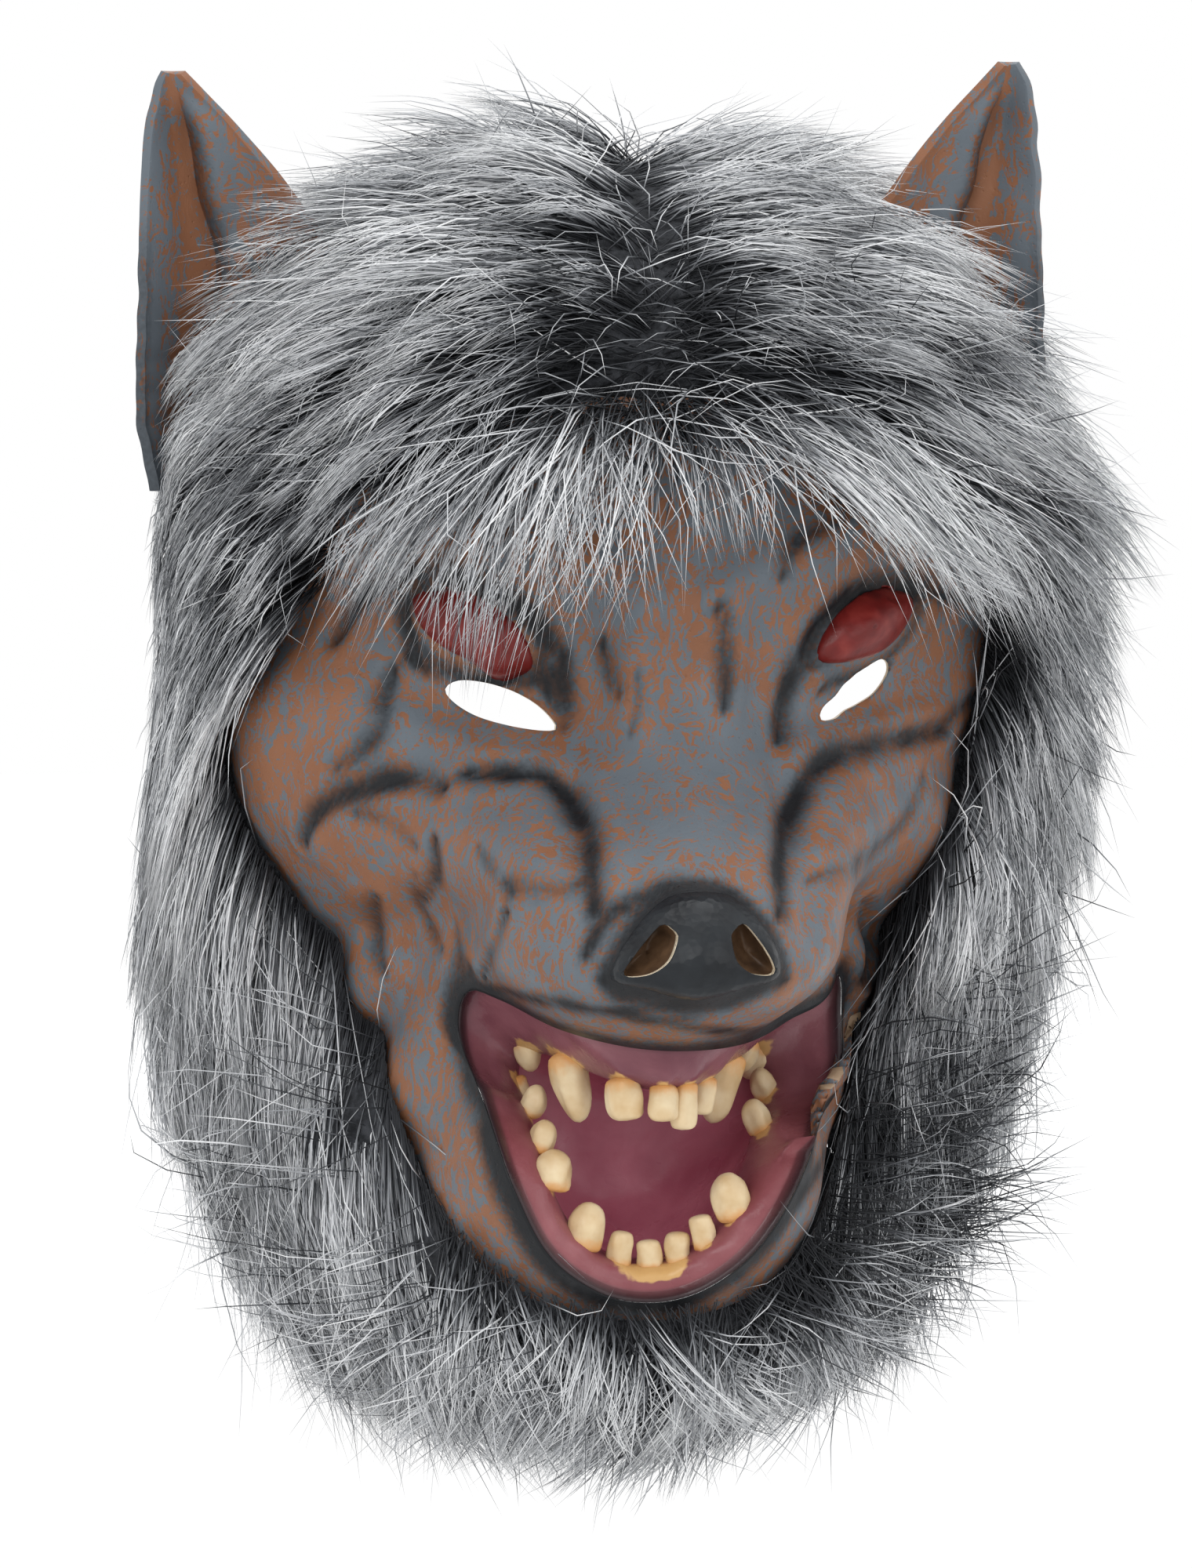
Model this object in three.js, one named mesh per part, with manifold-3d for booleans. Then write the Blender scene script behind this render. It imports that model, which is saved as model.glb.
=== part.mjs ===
// Wolf mask: a moulded latex head, open at the back, with a band of long-pile fur glued round the face.
// Millimetres, Z up, the face looks along -Y. While the pieces are shaped, z 0 is at the eye slits and
// y 0 at the ears; the finished mask stands with its origin at the top of the hollow for the head.
import * as THREE from "three";
import Module from "manifold-3d";

const wasm = await Module();
wasm.setup();

// Driving dimensions
const headWidth = 182; // across the latex at the ears
const faceDepth = 91; // from the ears forward to the brow
const faceHeight = 249; // from the crown down to the chin
const wallThickness = 1.6; // latex wall
const fitGap = 0.3; // clearance between neighbouring pieces
const earHeight = 92; // from the foot of the outer edge to the tip
const earWidth = 45; // across the ear above its root
const earWall = 2.4; // latex of the ear, two skins laid together
const furBacking = 2; // cloth that the pile grows from
const lockLength = 50; // an ordinary lock of the pile
const lockWidth = 25; // across an ordinary lock
const toothLength = 8; // an incisor below the gum
const toothWidth = 7.2; // across an incisor
const gumWall = 1.6; // latex of the mouth lining
const slitLength = 24; // across one eye slit
const slitHeight = 7.4; // opening of one eye slit
const elasticWidth = 12; // width of the head band
const elasticThickness = 1.2; // thickness of the head band
const jawLean = 9; // how far the jaw hangs over to the wearer's right

const halfWidth = headWidth / 2;
const turn = Math.PI * 2;
const degree = Math.PI / 180;

// The head is a few rounded masses that run into each other. Places and radii are shares of half the
// head width (x), of the face depth (y) and of the face height (z); blend is a share of the face depth.
const masses = [
  { name: "skull", x: 0, y: 0.088, z: 0.1, rx: 0.989, ry: 1.077, rz: 0.369, pitch: 0, blend: 0 },
  { name: "face", x: 0, y: -0.242, z: -0.185, rx: 0.681, ry: 0.791, rz: 0.305, pitch: 0, blend: 0.4 },
  { name: "muzzle", x: 0, y: -1.033, z: -0.161, rx: 0.429, ry: 0.604, rz: 0.1, pitch: 18, blend: 0.22 },
  { name: "jaw", x: 0, y: -0.791, z: -0.405, rx: 0.462, ry: 0.582, rz: 0.149, pitch: -12, blend: 0.24 },
];

// Ridges and hollows on the masses, placed as seen from the front, each mirrored to the other side.
// across and up are their half sizes, roll lifts the outer end, rise is a share of the face depth.
// A row with a side is on that side alone, 1 right and -1 left as seen from the front.
const relief = [
  { name: "bridge", x: 0, z: -0.056, across: 0.12, up: 0.12, roll: 0, rise: 0.044 },
  { name: "brow_ridge", x: 0.46, z: 0.133, across: 0.38, up: 0.032, roll: 22, rise: 0.1 },
  { name: "frown_fold", x: 0.11, z: 0.03, across: 0.05, up: 0.06, roll: 0, rise: 0.04 },
  { name: "brow_notch", x: 0, z: 0.05, across: 0.055, up: 0.064, roll: 0, rise: -0.035 },
  { name: "eye_socket", x: 0.48, z: 0.044, across: 0.27, up: 0.062, roll: 22, rise: -0.1 },
  { name: "eye_bulge", x: 0.47, z: 0.056, across: 0.15, up: 0.028, roll: 24, rise: 0.1 },
  { name: "under_lid", x: 0.44, z: -0.036, across: 0.22, up: 0.02, roll: 12, rise: 0.03 },
  { name: "cheekbone", x: 0.6, z: -0.112, across: 0.22, up: 0.052, roll: -14, rise: 0.075 },
  { name: "snarl_fold", x: 0.36, z: -0.112, across: 0.11, up: 0.052, roll: -6, rise: 0.07 },
  { name: "snarl_crease", x: 0.25, z: -0.104, across: 0.04, up: 0.072, roll: 4, rise: -0.045 },
  { name: "cheek_hollow", x: 0.57, z: -0.2, across: 0.18, up: 0.028, roll: -20, rise: -0.045 },
  { name: "lip_pad", x: 0.24, z: -0.221, across: 0.14, up: 0.04, roll: 0, rise: 0.045 },
  { name: "nose_swell", x: 0, z: -0.193, across: 0.2, up: 0.045, roll: 0, rise: 0.06 },
  { name: "jaw_roll", x: 0.49, z: -0.329, across: 0.066, up: 0.104, roll: 16, rise: 0.055 },
  { name: "jaw_groove", x: 0.58, z: -0.313, across: 0.044, up: 0.096, roll: 16, rise: -0.033 },
  { name: "left_flare", x: 0.8, z: -0.045, across: 0.16, up: 0.085, roll: 0, rise: 0.155, side: -1 },
  { name: "right_jowl", x: 0.67, z: -0.3, across: 0.12, up: 0.07, roll: 0, rise: 0.09, side: 1 },
];

// Lip line as seen from the front, from the middle of the upper lip to the middle of the lower lip.
const lipLine = [
  { x: 0, z: -0.285 },
  { x: 0.154, z: -0.281 },
  { x: 0.297, z: -0.267 },
  { x: 0.396, z: -0.247 },
  { x: 0.451, z: -0.241 },
  { x: 0.462, z: -0.273 },
  { x: 0.418, z: -0.333 },
  { x: 0.341, z: -0.398 },
  { x: 0.242, z: -0.458 },
  { x: 0.121, z: -0.492 },
  { x: 0, z: -0.502 },
];

// Edges round the face, by the direction they lie in: roll is measured from the top of the head round
// to the chin. latexEdge, furRight and furLeft are degrees away from straight ahead; freeEdge, in
// degrees, and reachRight and reachLeft, as shares of half the head width, give the loose edge of the
// fur cloth. Right and left are as seen from the front.
const faceRim = [
  { roll: 0, latexEdge: 109, furRight: 62, furLeft: 62, freeEdge: 108, reachRight: 1.62, reachLeft: 1.62 },
  { roll: 25, latexEdge: 108, furRight: 65, furLeft: 65, freeEdge: 107, reachRight: 1.55, reachLeft: 1.55 },
  { roll: 45, latexEdge: 108, furRight: 77, furLeft: 77, freeEdge: 106, reachRight: 1.38, reachLeft: 1.38 },
  { roll: 60, latexEdge: 107, furRight: 84, furLeft: 84, freeEdge: 106, reachRight: 1.2, reachLeft: 1.18 },
  { roll: 75, latexEdge: 104, furRight: 82, furLeft: 91, freeEdge: 107, reachRight: 1.14, reachLeft: 1.08 },
  { roll: 95, latexEdge: 99, furRight: 68, furLeft: 87, freeEdge: 106, reachRight: 1.12, reachLeft: 1.04 },
  { roll: 115, latexEdge: 92, furRight: 72, furLeft: 79, freeEdge: 102, reachRight: 1.16, reachLeft: 1.07 },
  { roll: 140, latexEdge: 84, furRight: 67, furLeft: 66, freeEdge: 95, reachRight: 1.28, reachLeft: 1.24 },
  { roll: 160, latexEdge: 78, furRight: 57, furLeft: 57, freeEdge: 85, reachRight: 1.31, reachLeft: 1.3 },
  { roll: 180, latexEdge: 74, furRight: 54, furLeft: 54, freeEdge: 76, reachRight: 1.36, reachLeft: 1.36 },
];

const skull = masses[0];
const faceCentre = new THREE.Vector3(0, -0.33 * faceDepth, -0.129 * faceHeight);
const frontReach = 2.64 * faceDepth; // clear in front of the nose
const reliefEnd = 0.22 * faceDepth; // behind the ears the skin is plain
const reliefRun = 0.66 * faceDepth; // the relief comes in over this run
const reliefReach = 3; // half sizes past which a ridge is nothing
const castSteps = 60; // steps inward along a ray
const castCare = 0.8; // share of the distance taken at a step
const castBack = 6; // longest step outward
const castIn = 15; // longest step inward

function smoothUnion(near, other, blend) {
  if (blend <= 0) {
    return Math.min(near, other);
  }
  const overlap = Math.max(blend - Math.abs(near - other), 0) / blend;
  return Math.min(near, other) - (overlap * overlap * blend) / 4;
}

function massDistance(mass, point) {
  const x = point.x - mass.x * halfWidth;
  const dy = point.y - mass.y * faceDepth;
  const dz = point.z - mass.z * faceHeight;
  const pitch = mass.pitch * degree;
  const y = dy * Math.cos(pitch) + dz * Math.sin(pitch);
  const z = dz * Math.cos(pitch) - dy * Math.sin(pitch);
  const rx = mass.rx * halfWidth;
  const ry = mass.ry * faceDepth;
  const rz = mass.rz * faceHeight;
  const scaled = Math.hypot(x / rx, y / ry, z / rz);
  const slope = Math.hypot(x / rx ** 2, y / ry ** 2, z / rz ** 2);
  return (scaled * (scaled - 1)) / Math.max(slope, 1e-9);
}

function headDistance(point) {
  let distance = Infinity;
  for (const mass of masses) {
    distance = smoothUnion(distance, massDistance(mass, point), mass.blend * faceDepth);
  }
  return distance;
}

function reliefRise(point) {
  let rise = 0;
  for (const fold of relief) {
    const bothSides = fold.x === 0 ? [1] : [1, -1];
    for (const side of fold.side ? [fold.side] : bothSides) {
      const dx = point.x - side * fold.x * halfWidth;
      const dz = point.z - fold.z * faceHeight;
      const roll = side * fold.roll * degree;
      const across = (dx * Math.cos(roll) + dz * Math.sin(roll)) / (fold.across * halfWidth);
      const up = (dz * Math.cos(roll) - dx * Math.sin(roll)) / (fold.up * faceHeight);
      if (Math.abs(across) < reliefReach && Math.abs(up) < reliefReach) {
        rise += fold.rise * faceDepth * Math.exp(-(across * across) - up * up);
      }
    }
  }
  const fade = Math.min(Math.max((reliefEnd - point.y) / reliefRun, 0), 1);
  return rise * fade;
}

// First point of the plain masses met from far away, going in along a ray.
function massHit(start, direction, far) {
  let travel = far;
  for (let step = 0; step < castSteps; step += 1) {
    const point = start.clone().addScaledVector(direction, travel);
    travel -= THREE.MathUtils.clamp(headDistance(point) * castCare, -castBack, castIn);
  }
  return travel;
}

function skinPoint(direction) {
  const travel = massHit(faceCentre, direction, frontReach);
  const plain = faceCentre.clone().addScaledVector(direction, travel);
  return faceCentre.clone().addScaledVector(direction, travel + reliefRise(plain));
}

// A closed loop of front view points from a table of its right half.
function mirroredLoop(table) {
  const left = table.slice(1, -1).reverse();
  const points = [
    ...table.map((row) => new THREE.Vector3(row.x * halfWidth, 0, row.z * faceHeight)),
    ...left.map((row) => new THREE.Vector3(-row.x * halfWidth, 0, row.z * faceHeight)),
  ];
  return new THREE.CatmullRomCurve3(points, true, "catmullrom", 0.5);
}

// The upper lip is pulled to the right, as seen from the front: by a share of half the head width, and
// between two heights that are shares of the face height.
const lipPull = 0.06;
const lipPullLow = -0.46;
const lipPullHigh = -0.28;
const lipCurve = mirroredLoop(lipLine);
for (const point of lipCurve.points) {
  const pulled = THREE.MathUtils.smoothstep(point.z, lipPullLow * faceHeight, lipPullHigh * faceHeight);
  point.x += lipPull * halfWidth * pulled;
}
const mouthCentre = new THREE.Vector3(0, -0.66 * faceDepth, -0.386 * faceHeight);
const ahead = new THREE.Vector3(0, -1, 0);

function rimValue(roll, column) {
  const wrapped = ((roll % 360) + 360) % 360;
  const side = wrapped > 180 ? 360 - wrapped : wrapped;
  const last = faceRim.findIndex((row) => row.roll >= side);
  const after = faceRim[Math.max(last, 1)];
  const before = faceRim[Math.max(last, 1) - 1];
  const mix = THREE.MathUtils.smoothstep(side, before.roll, after.roll);
  return THREE.MathUtils.lerp(before[column], after[column], mix);
}

// One of two columns, by the side of the face that a roll lies on.
function sideValue(roll, rightColumn, leftColumn) {
  const wrapped = ((roll % 360) + 360) % 360;
  return rimValue(roll, wrapped > 180 ? leftColumn : rightColumn);
}

function furEdge(roll) {
  return sideValue(roll, "furRight", "furLeft");
}

// Unit direction by roll round the face and degrees away from straight ahead.
function aim(roll, away) {
  const around = Math.sin(away * degree);
  return new THREE.Vector3(
    Math.sin(roll * degree) * around,
    -Math.cos(away * degree),
    Math.cos(roll * degree) * around,
  );
}

function directionBetween(from, to, share) {
  const angle = Math.acos(THREE.MathUtils.clamp(from.dot(to), -1, 1));
  const start = Math.sin((1 - share) * angle) / Math.sin(angle);
  const end = Math.sin(share * angle) / Math.sin(angle);
  return from.clone().multiplyScalar(start).addScaledVector(to, end);
}

// Direction of a place on the lip line, counted as a share of the way round it.
function lipDirection(share) {
  const flat = lipCurve.getPointAt(share);
  const travel = massHit(flat, ahead, frontReach);
  return flat.addScaledVector(ahead, travel).sub(faceCentre).normalize();
}

const spokeCrowding = 0.35; // spokes stand closer over the brow than under the jaw
const ringCrowding = 1.35; // rings stand closer at the lips than at the back edge

function spokeShare(step, count) {
  const even = step / count;
  return even - (spokeCrowding * Math.sin(turn * even)) / turn;
}

// Skin points on spokes from the lip line out to the back edge of the latex.
function headGrid(spokes, rings) {
  return Array.from({ length: spokes }, (_, spoke) => {
    const share = spokeShare(spoke, spokes);
    const roll = 360 * share;
    const lip = lipDirection(share);
    const edge = aim(roll, rimValue(roll, "latexEdge"));
    return Array.from({ length: rings + 1 }, (_, ring) =>
      skinPoint(directionBetween(lip, edge, (ring / rings) ** ringCrowding)),
    );
  });
}

// Normals of a grid of points; loops says that the last spoke is followed by the first.
function gridNormals(grid, loops) {
  const spokes = grid.length;
  return grid.map((row, spoke) =>
    row.map((point, ring) => {
      const next = loops ? (spoke + 1) % spokes : Math.min(spoke + 1, spokes - 1);
      const last = loops ? (spoke + spokes - 1) % spokes : Math.max(spoke - 1, 0);
      const across = grid[next][ring].clone().sub(grid[last][ring]);
      const outer = row[Math.min(ring + 1, row.length - 1)];
      const inner = row[Math.max(ring - 1, 0)];
      return across.cross(outer.clone().sub(inner)).normalize();
    }),
  );
}

function offsetGrid(grid, normals, distance) {
  return grid.map((row, spoke) =>
    row.map((point, ring) => point.clone().addScaledVector(normals[spoke][ring], distance)),
  );
}

// Moves the first and last ring of a grid outward in the sheet, to grow it past its own edges.
function growEdges(grid, distance) {
  return grid.map((row) => {
    const grown = row.map((point) => point.clone());
    const end = row.length - 1;
    grown[0].add(row[0].clone().sub(row[1]).setLength(distance));
    grown[end].add(row[end].clone().sub(row[end - 1]).setLength(distance));
    return grown;
  });
}

// A solid from points and triangles; points that fall together are merged, empty triangles dropped.
function solidFrom(points, triangles) {
  const places = new Map();
  const merged = [];
  const index = points.map((point) => {
    const key = point.toArray().map((value) => value.toFixed(4)).join(" ");
    if (!places.has(key)) {
      places.set(key, merged.length / 3);
      merged.push(...point.toArray());
    }
    return places.get(key);
  });
  const kept = triangles
    .map((triangle) => triangle.map((corner) => index[corner]))
    .filter(([a, b, c]) => a !== b && b !== c && c !== a);
  const mesh = new wasm.Mesh({
    numProp: 3,
    vertProperties: new Float32Array(merged),
    triVerts: new Uint32Array(kept.flat()),
  });
  return new wasm.Manifold(mesh);
}

// A solid sheet between two grids of the same size; face normals follow spoke cross ring on the outer.
function sheetSolid(outer, inner, loops) {
  const spokes = outer.length;
  const rings = outer[0].length;
  const points = [...outer.flat(), ...inner.flat()];
  const top = (spoke, ring) => (spoke % spokes) * rings + ring;
  const under = (spoke, ring) => spokes * rings + top(spoke, ring);
  const triangles = [];
  const quad = (a, b, c, d) => triangles.push([a, b, c], [a, c, d]);
  const lastSpoke = loops ? spokes : spokes - 1;
  for (let spoke = 0; spoke < lastSpoke; spoke += 1) {
    const next = spoke + 1;
    for (let ring = 0; ring < rings - 1; ring += 1) {
      quad(top(spoke, ring), top(next, ring), top(next, ring + 1), top(spoke, ring + 1));
      quad(under(spoke, ring), under(spoke, ring + 1), under(next, ring + 1), under(next, ring));
    }
    quad(top(next, 0), top(spoke, 0), under(spoke, 0), under(next, 0));
    const end = rings - 1;
    quad(top(spoke, end), top(next, end), under(next, end), under(spoke, end));
  }
  if (!loops) {
    const end = spokes - 1;
    for (let ring = 0; ring < rings - 1; ring += 1) {
      quad(top(0, ring), top(0, ring + 1), under(0, ring + 1), under(0, ring));
      quad(top(end, ring + 1), top(end, ring), under(end, ring), under(end, ring + 1));
    }
  }
  return solidFrom(points, triangles);
}

// A prism along Y of an outline seen from the front, between two depths.
function frontPrism(outline, frontY, backY) {
  const shape = new THREE.Shape(outline.map((point) => new THREE.Vector2(point.x, point.z)));
  const geometry = new THREE.ExtrudeGeometry(shape, { depth: backY - frontY, bevelEnabled: false });
  geometry.rotateX(Math.PI / 2);
  geometry.translate(0, backY, 0);
  const position = geometry.getAttribute("position");
  const points = Array.from({ length: position.count }, (_, at) =>
    new THREE.Vector3().fromBufferAttribute(position, at),
  );
  const corners = geometry.index ? Array.from(geometry.index.array) : points.map((_, at) => at);
  const triangles = [];
  for (let at = 0; at < corners.length; at += 3) {
    triangles.push(corners.slice(at, at + 3));
  }
  return solidFrom(points, triangles);
}

function ovalOutline({ x, z, across, up, roll, sides }) {
  return Array.from({ length: sides }, (_, step) => {
    const angle = (turn * step) / sides;
    const dx = across * Math.cos(angle);
    const dz = up * Math.sin(angle);
    return new THREE.Vector3(
      x + dx * Math.cos(roll) - dz * Math.sin(roll),
      0,
      z + dx * Math.sin(roll) + dz * Math.cos(roll),
    );
  });
}

// The largest separate piece of a solid.
function largestPiece(solid) {
  const pieces = solid.decompose();
  return pieces.reduce((best, piece) => (piece.volume() > best.volume() ? piece : best));
}

// The jaw hangs over to one side: every piece is sheared sideways below the eyes.
const leanTop = 0.08 * faceHeight;
const leanFoot = -0.36 * faceHeight;

function leanAt(z) {
  return -jawLean * (1 - THREE.MathUtils.smoothstep(z, leanFoot, leanTop));
}

const headInside = (skull.z + skull.rz) * faceHeight - wallThickness; // top of the hollow for the head
const mask = new THREE.Group();
const shaped = new THREE.Group();
shaped.position.z = -headInside;
mask.add(shaped);

function addPiece(name, solid, look) {
  const mesh = solid.getMesh();
  const positions = new Float32Array(mesh.numVert * 3);
  for (let at = 0; at < mesh.numVert; at += 1) {
    const [x, y, z] = mesh.vertProperties.slice(at * mesh.numProp, at * mesh.numProp + 3);
    positions.set([x + leanAt(z), y, z], at * 3);
  }
  const geometry = new THREE.BufferGeometry();
  geometry.setAttribute("position", new THREE.BufferAttribute(positions, 3));
  geometry.setIndex(new THREE.BufferAttribute(new Uint32Array(mesh.triVerts), 1));
  geometry.computeVertexNormals();
  const piece = new THREE.Mesh(geometry, new THREE.MeshStandardMaterial({ metalness: 0, ...look }));
  piece.name = name;
  shaped.add(piece);
}

const latex = { color: 0x6a4a3a, roughness: 0.5 };
const blackLatex = { color: 0x17191c, roughness: 0.4 };
const redLatex = { color: 0x7a2020, roughness: 0.35 };
const gumLatex = { color: 0x7a3f4c, roughness: 0.35 };
const enamel = { color: 0xd9c090, roughness: 0.35 };
const pile = { color: 0x7d8084, roughness: 0.95 };
const elastic = { color: 0x1c1c1e, roughness: 0.9 };

// Face skin, with the places of the eyes, the nose, the slits and the nostrils cut out of it
const skinSpokes = 46;
const skinRings = 15;
const skinGrid = headGrid(skinSpokes, skinRings);
const skinNormals = gridNormals(skinGrid, true);
const skinSheet = sheetSolid(skinGrid, offsetGrid(skinGrid, skinNormals, -wallThickness), true);

// The head as a filled body grown by a clearance, to keep other pieces off it.
function filledHead(clearance) {
  const outside = growEdges(offsetGrid(skinGrid, skinNormals, clearance), clearance);
  const centre = skinGrid.map((row) => row.map(() => faceCentre.clone()));
  return sheetSolid(outside, centre, true);
}

// The skin alone, grown on both sides and at both edges by a clearance.
function grownSkin(clearance) {
  const outside = growEdges(offsetGrid(skinGrid, skinNormals, clearance), clearance);
  const inside = growEdges(offsetGrid(skinGrid, skinNormals, -wallThickness - clearance), clearance);
  return sheetSolid(outside, inside, true);
}

const eyes = [
  { name: "eye_left", x: -0.458, z: 0.056, across: 0.15, up: 0.031, roll: -25 },
  { name: "eye_right", x: 0.469, z: 0.06, across: 0.15, up: 0.031, roll: 25 },
];
const slits = [
  { name: "left", x: -0.39, z: -0.005, roll: -14 },
  { name: "right", x: 0.45, z: 0.006, roll: 26 },
];
const noseOutline = [
  { x: 0, z: -0.149 },
  { x: 0.075, z: -0.154 },
  { x: 0.135, z: -0.173 },
  { x: 0.182, z: -0.199 },
  { x: 0.187, z: -0.22 },
  { x: 0.11, z: -0.228 },
  { x: 0, z: -0.237 },
];
const nostrilOutline = [
  { x: 0.06, z: -0.187 },
  { x: 0.066, z: -0.18 },
  { x: 0.1, z: -0.177 },
  { x: 0.169, z: -0.212 },
  { x: 0.122, z: -0.215 },
  { x: 0.078, z: -0.205 },
];
const featureFront = -2.4 * faceDepth; // ahead of the nose
const eyeBack = -0.45 * faceDepth;
const noseBack = -1.3 * faceDepth;
const eyeSides = 14;
const slitSides = 12;
const noseSides = 18;

function nostrilPrism(side) {
  const outline = nostrilOutline.map(
    (row) => new THREE.Vector3(side * row.x * halfWidth, 0, row.z * faceHeight),
  );
  return frontPrism(side > 0 ? outline : outline.reverse(), featureFront, noseBack);
}

function nosePrism(shrink) {
  const loop = mirroredLoop(noseOutline);
  const middle = (0.5 * (noseOutline[0].z + noseOutline.at(-1).z)) * faceHeight;
  const outline = loop.getSpacedPoints(noseSides).slice(0, noseSides).map((point) => {
    const out = new THREE.Vector3(point.x, 0, point.z - middle);
    out.setLength(out.length() - shrink);
    return new THREE.Vector3(out.x, 0, out.z + middle);
  });
  return frontPrism(outline, featureFront, noseBack);
}

function eyePrism(eye, shrink) {
  const outline = ovalOutline({
    x: eye.x * halfWidth,
    z: eye.z * faceHeight,
    across: eye.across * halfWidth - shrink,
    up: eye.up * faceHeight - shrink,
    roll: eye.roll * degree,
    sides: eyeSides,
  });
  return frontPrism(outline, featureFront, eyeBack);
}

let faceSkin = skinSheet;
for (const eye of eyes) {
  faceSkin = faceSkin.subtract(eyePrism(eye, 0));
  addPiece(eye.name, largestPiece(skinSheet.intersect(eyePrism(eye, fitGap))), redLatex);
}
for (const slit of slits) {
  const outline = ovalOutline({
    x: slit.x * halfWidth,
    z: slit.z * faceHeight,
    across: slitLength / 2,
    up: slitHeight / 2,
    roll: slit.roll * degree,
    sides: slitSides,
  });
  faceSkin = faceSkin.subtract(frontPrism(outline, featureFront, eyeBack));
}
faceSkin = faceSkin.subtract(nosePrism(0));
addPiece("face_skin", largestPiece(faceSkin), latex);

let nosePad = skinSheet.intersect(nosePrism(fitGap));
for (const side of [-1, 1]) {
  nosePad = nosePad.subtract(nostrilPrism(side));
}
addPiece("nose_pad", largestPiece(nosePad), blackLatex);

// Ears: level sections from the foot of the outer edge to the tip. up is a share of the ear's height,
// inner and outer are shares of its width in from the line of the outer edge, scoop is how far the
// middle of the section stands back, as a share of the width. line is where the outer edge stands, as a
// share of half the head width, and lift makes an ear taller.
const earSections = [
  { name: "foot", up: 0, inner: 0.56, outer: 0.06, scoop: 0.3 },
  { name: "lobe", up: 0.17, inner: 0.64, outer: 0.0, scoop: 0.3 },
  { name: "root", up: 0.38, inner: 0.86, outer: 0.0, scoop: 0.3 },
  { name: "swell", up: 0.55, inner: 0.98, outer: 0.01, scoop: 0.26 },
  { name: "blade", up: 0.72, inner: 0.76, outer: 0.02, scoop: 0.2 },
  { name: "taper", up: 0.86, inner: 0.52, outer: 0.04, scoop: 0.12 },
  { name: "neck", up: 0.95, inner: 0.34, outer: 0.08, scoop: 0.06 },
  { name: "tip", up: 1, inner: 0.24, outer: 0.13, scoop: 0.02 },
];
const ears = [
  { name: "ear_left", side: -1, lift: 0, line: 1.19 },
  { name: "ear_right", side: 1, lift: 0.05, line: 1.05 },
];
const earFoot = 0.18 * faceHeight;
const earFront = -0.2 * faceDepth;
const earColumns = 6;

function earGrid(ear, grow) {
  const outward = [];
  for (let column = 0; column <= earColumns; column += 1) {
    const across = column / earColumns;
    const bow = Math.sin(Math.PI * across);
    outward.push(
      earSections.map((section) => {
        const share = section.inner + (section.outer - section.inner) * across;
        const spread = (across * 2 - 1) * grow;
        return new THREE.Vector3(
          ear.side * (ear.line * halfWidth - share * earWidth + spread),
          earFront + section.scoop * earWidth * bow,
          earFoot + section.up * (1 + ear.lift) * earHeight,
        );
      }),
    );
  }
  return outward;
}

// One ear as a curled leaf of even thickness, grown all round by a clearance.
function earSolid(ear, grow) {
  const front = earGrid(ear, grow);
  const normals = gridNormals(front, false);
  const back = front.map((row) => row.map((point) => point.clone().add(new THREE.Vector3(0, earWall, 0))));
  const frontGrown = growEdges(offsetGrid(front, normals, ear.side * grow), grow + fitGap);
  const backGrown = growEdges(offsetGrid(back, normals, -ear.side * grow), grow + fitGap);
  const sheets = grow > 0 ? [frontGrown, backGrown] : [front, back];
  return ear.side > 0 ? sheetSolid(...sheets, false) : sheetSolid(...sheets.reverse(), false);
}

const skinCutter = grownSkin(fitGap).add(skinSheet);
const headCutter = filledHead(fitGap).add(skinCutter);
for (const ear of ears) {
  addPiece(ear.name, largestPiece(earSolid(ear, 0).subtract(headCutter)), latex);
}

// Mouth lining: rings from just inside the lips over the gum crest to the back of the mouth. inset is a
// share of the way from the lips to the middle of the mouth, depth of the way back to its end, and back
// an even step further back all the way round, as a share of the face depth. wall is the share of the
// full wall that the latex has there. swing is how far a ring takes part in the gum being taller above
// than below.
const gumSwing = 0.11; // added to the inset at the middle above, taken off it at the middle below
const liningRings = [
  { name: "behind_lip", inset: 0, swing: 0, depth: 0, back: 0.008, wall: 0.25 },
  { name: "gum_root", inset: 0.1, swing: 0.3, depth: 0, back: 0.012, wall: 0.6 },
  { name: "gum_face", inset: 0.2, swing: 0.7, depth: 0.01, back: 0.02, wall: 1 },
  { name: "gum_crest", inset: 0.28, swing: 1, depth: 0.03, back: 0.045, wall: 1 },
  { name: "gum_back", inset: 0.31, swing: 1, depth: 0.08, back: 0.09, wall: 1 },
  { name: "palate", inset: 0.26, swing: 1, depth: 0.35, back: 0.09, wall: 1 },
  { name: "palate_back", inset: 0.3, swing: 0.6, depth: 0.66, back: 0.06, wall: 1 },
  { name: "throat_edge", inset: 0.5, swing: 0.3, depth: 0.92, back: 0.02, wall: 1 },
  { name: "throat", inset: 1, swing: 0, depth: 1, back: 0, wall: 1 },
];
const liningSpokes = 26;
const lipClearance = 3.2 * fitGap; // from the inner side of the lip to the lining

// The inner side of the lip, clear of the latex of the face.
function innerLip(share) {
  const step = 0.5 / liningSpokes;
  const direction = lipDirection(share);
  const roll = 360 * share;
  const lip = skinPoint(direction);
  const after = skinPoint(lipDirection((share + step) % 1));
  const before = skinPoint(lipDirection((share + 1 - step) % 1));
  const outer = skinPoint(directionBetween(direction, aim(roll, rimValue(roll, "latexEdge")), step));
  const normal = after.sub(before).cross(outer.sub(lip)).normalize();
  const outward = Math.sign(normal.dot(direction));
  return lip.addScaledVector(normal, -outward * (wallThickness + lipClearance));
}

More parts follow.
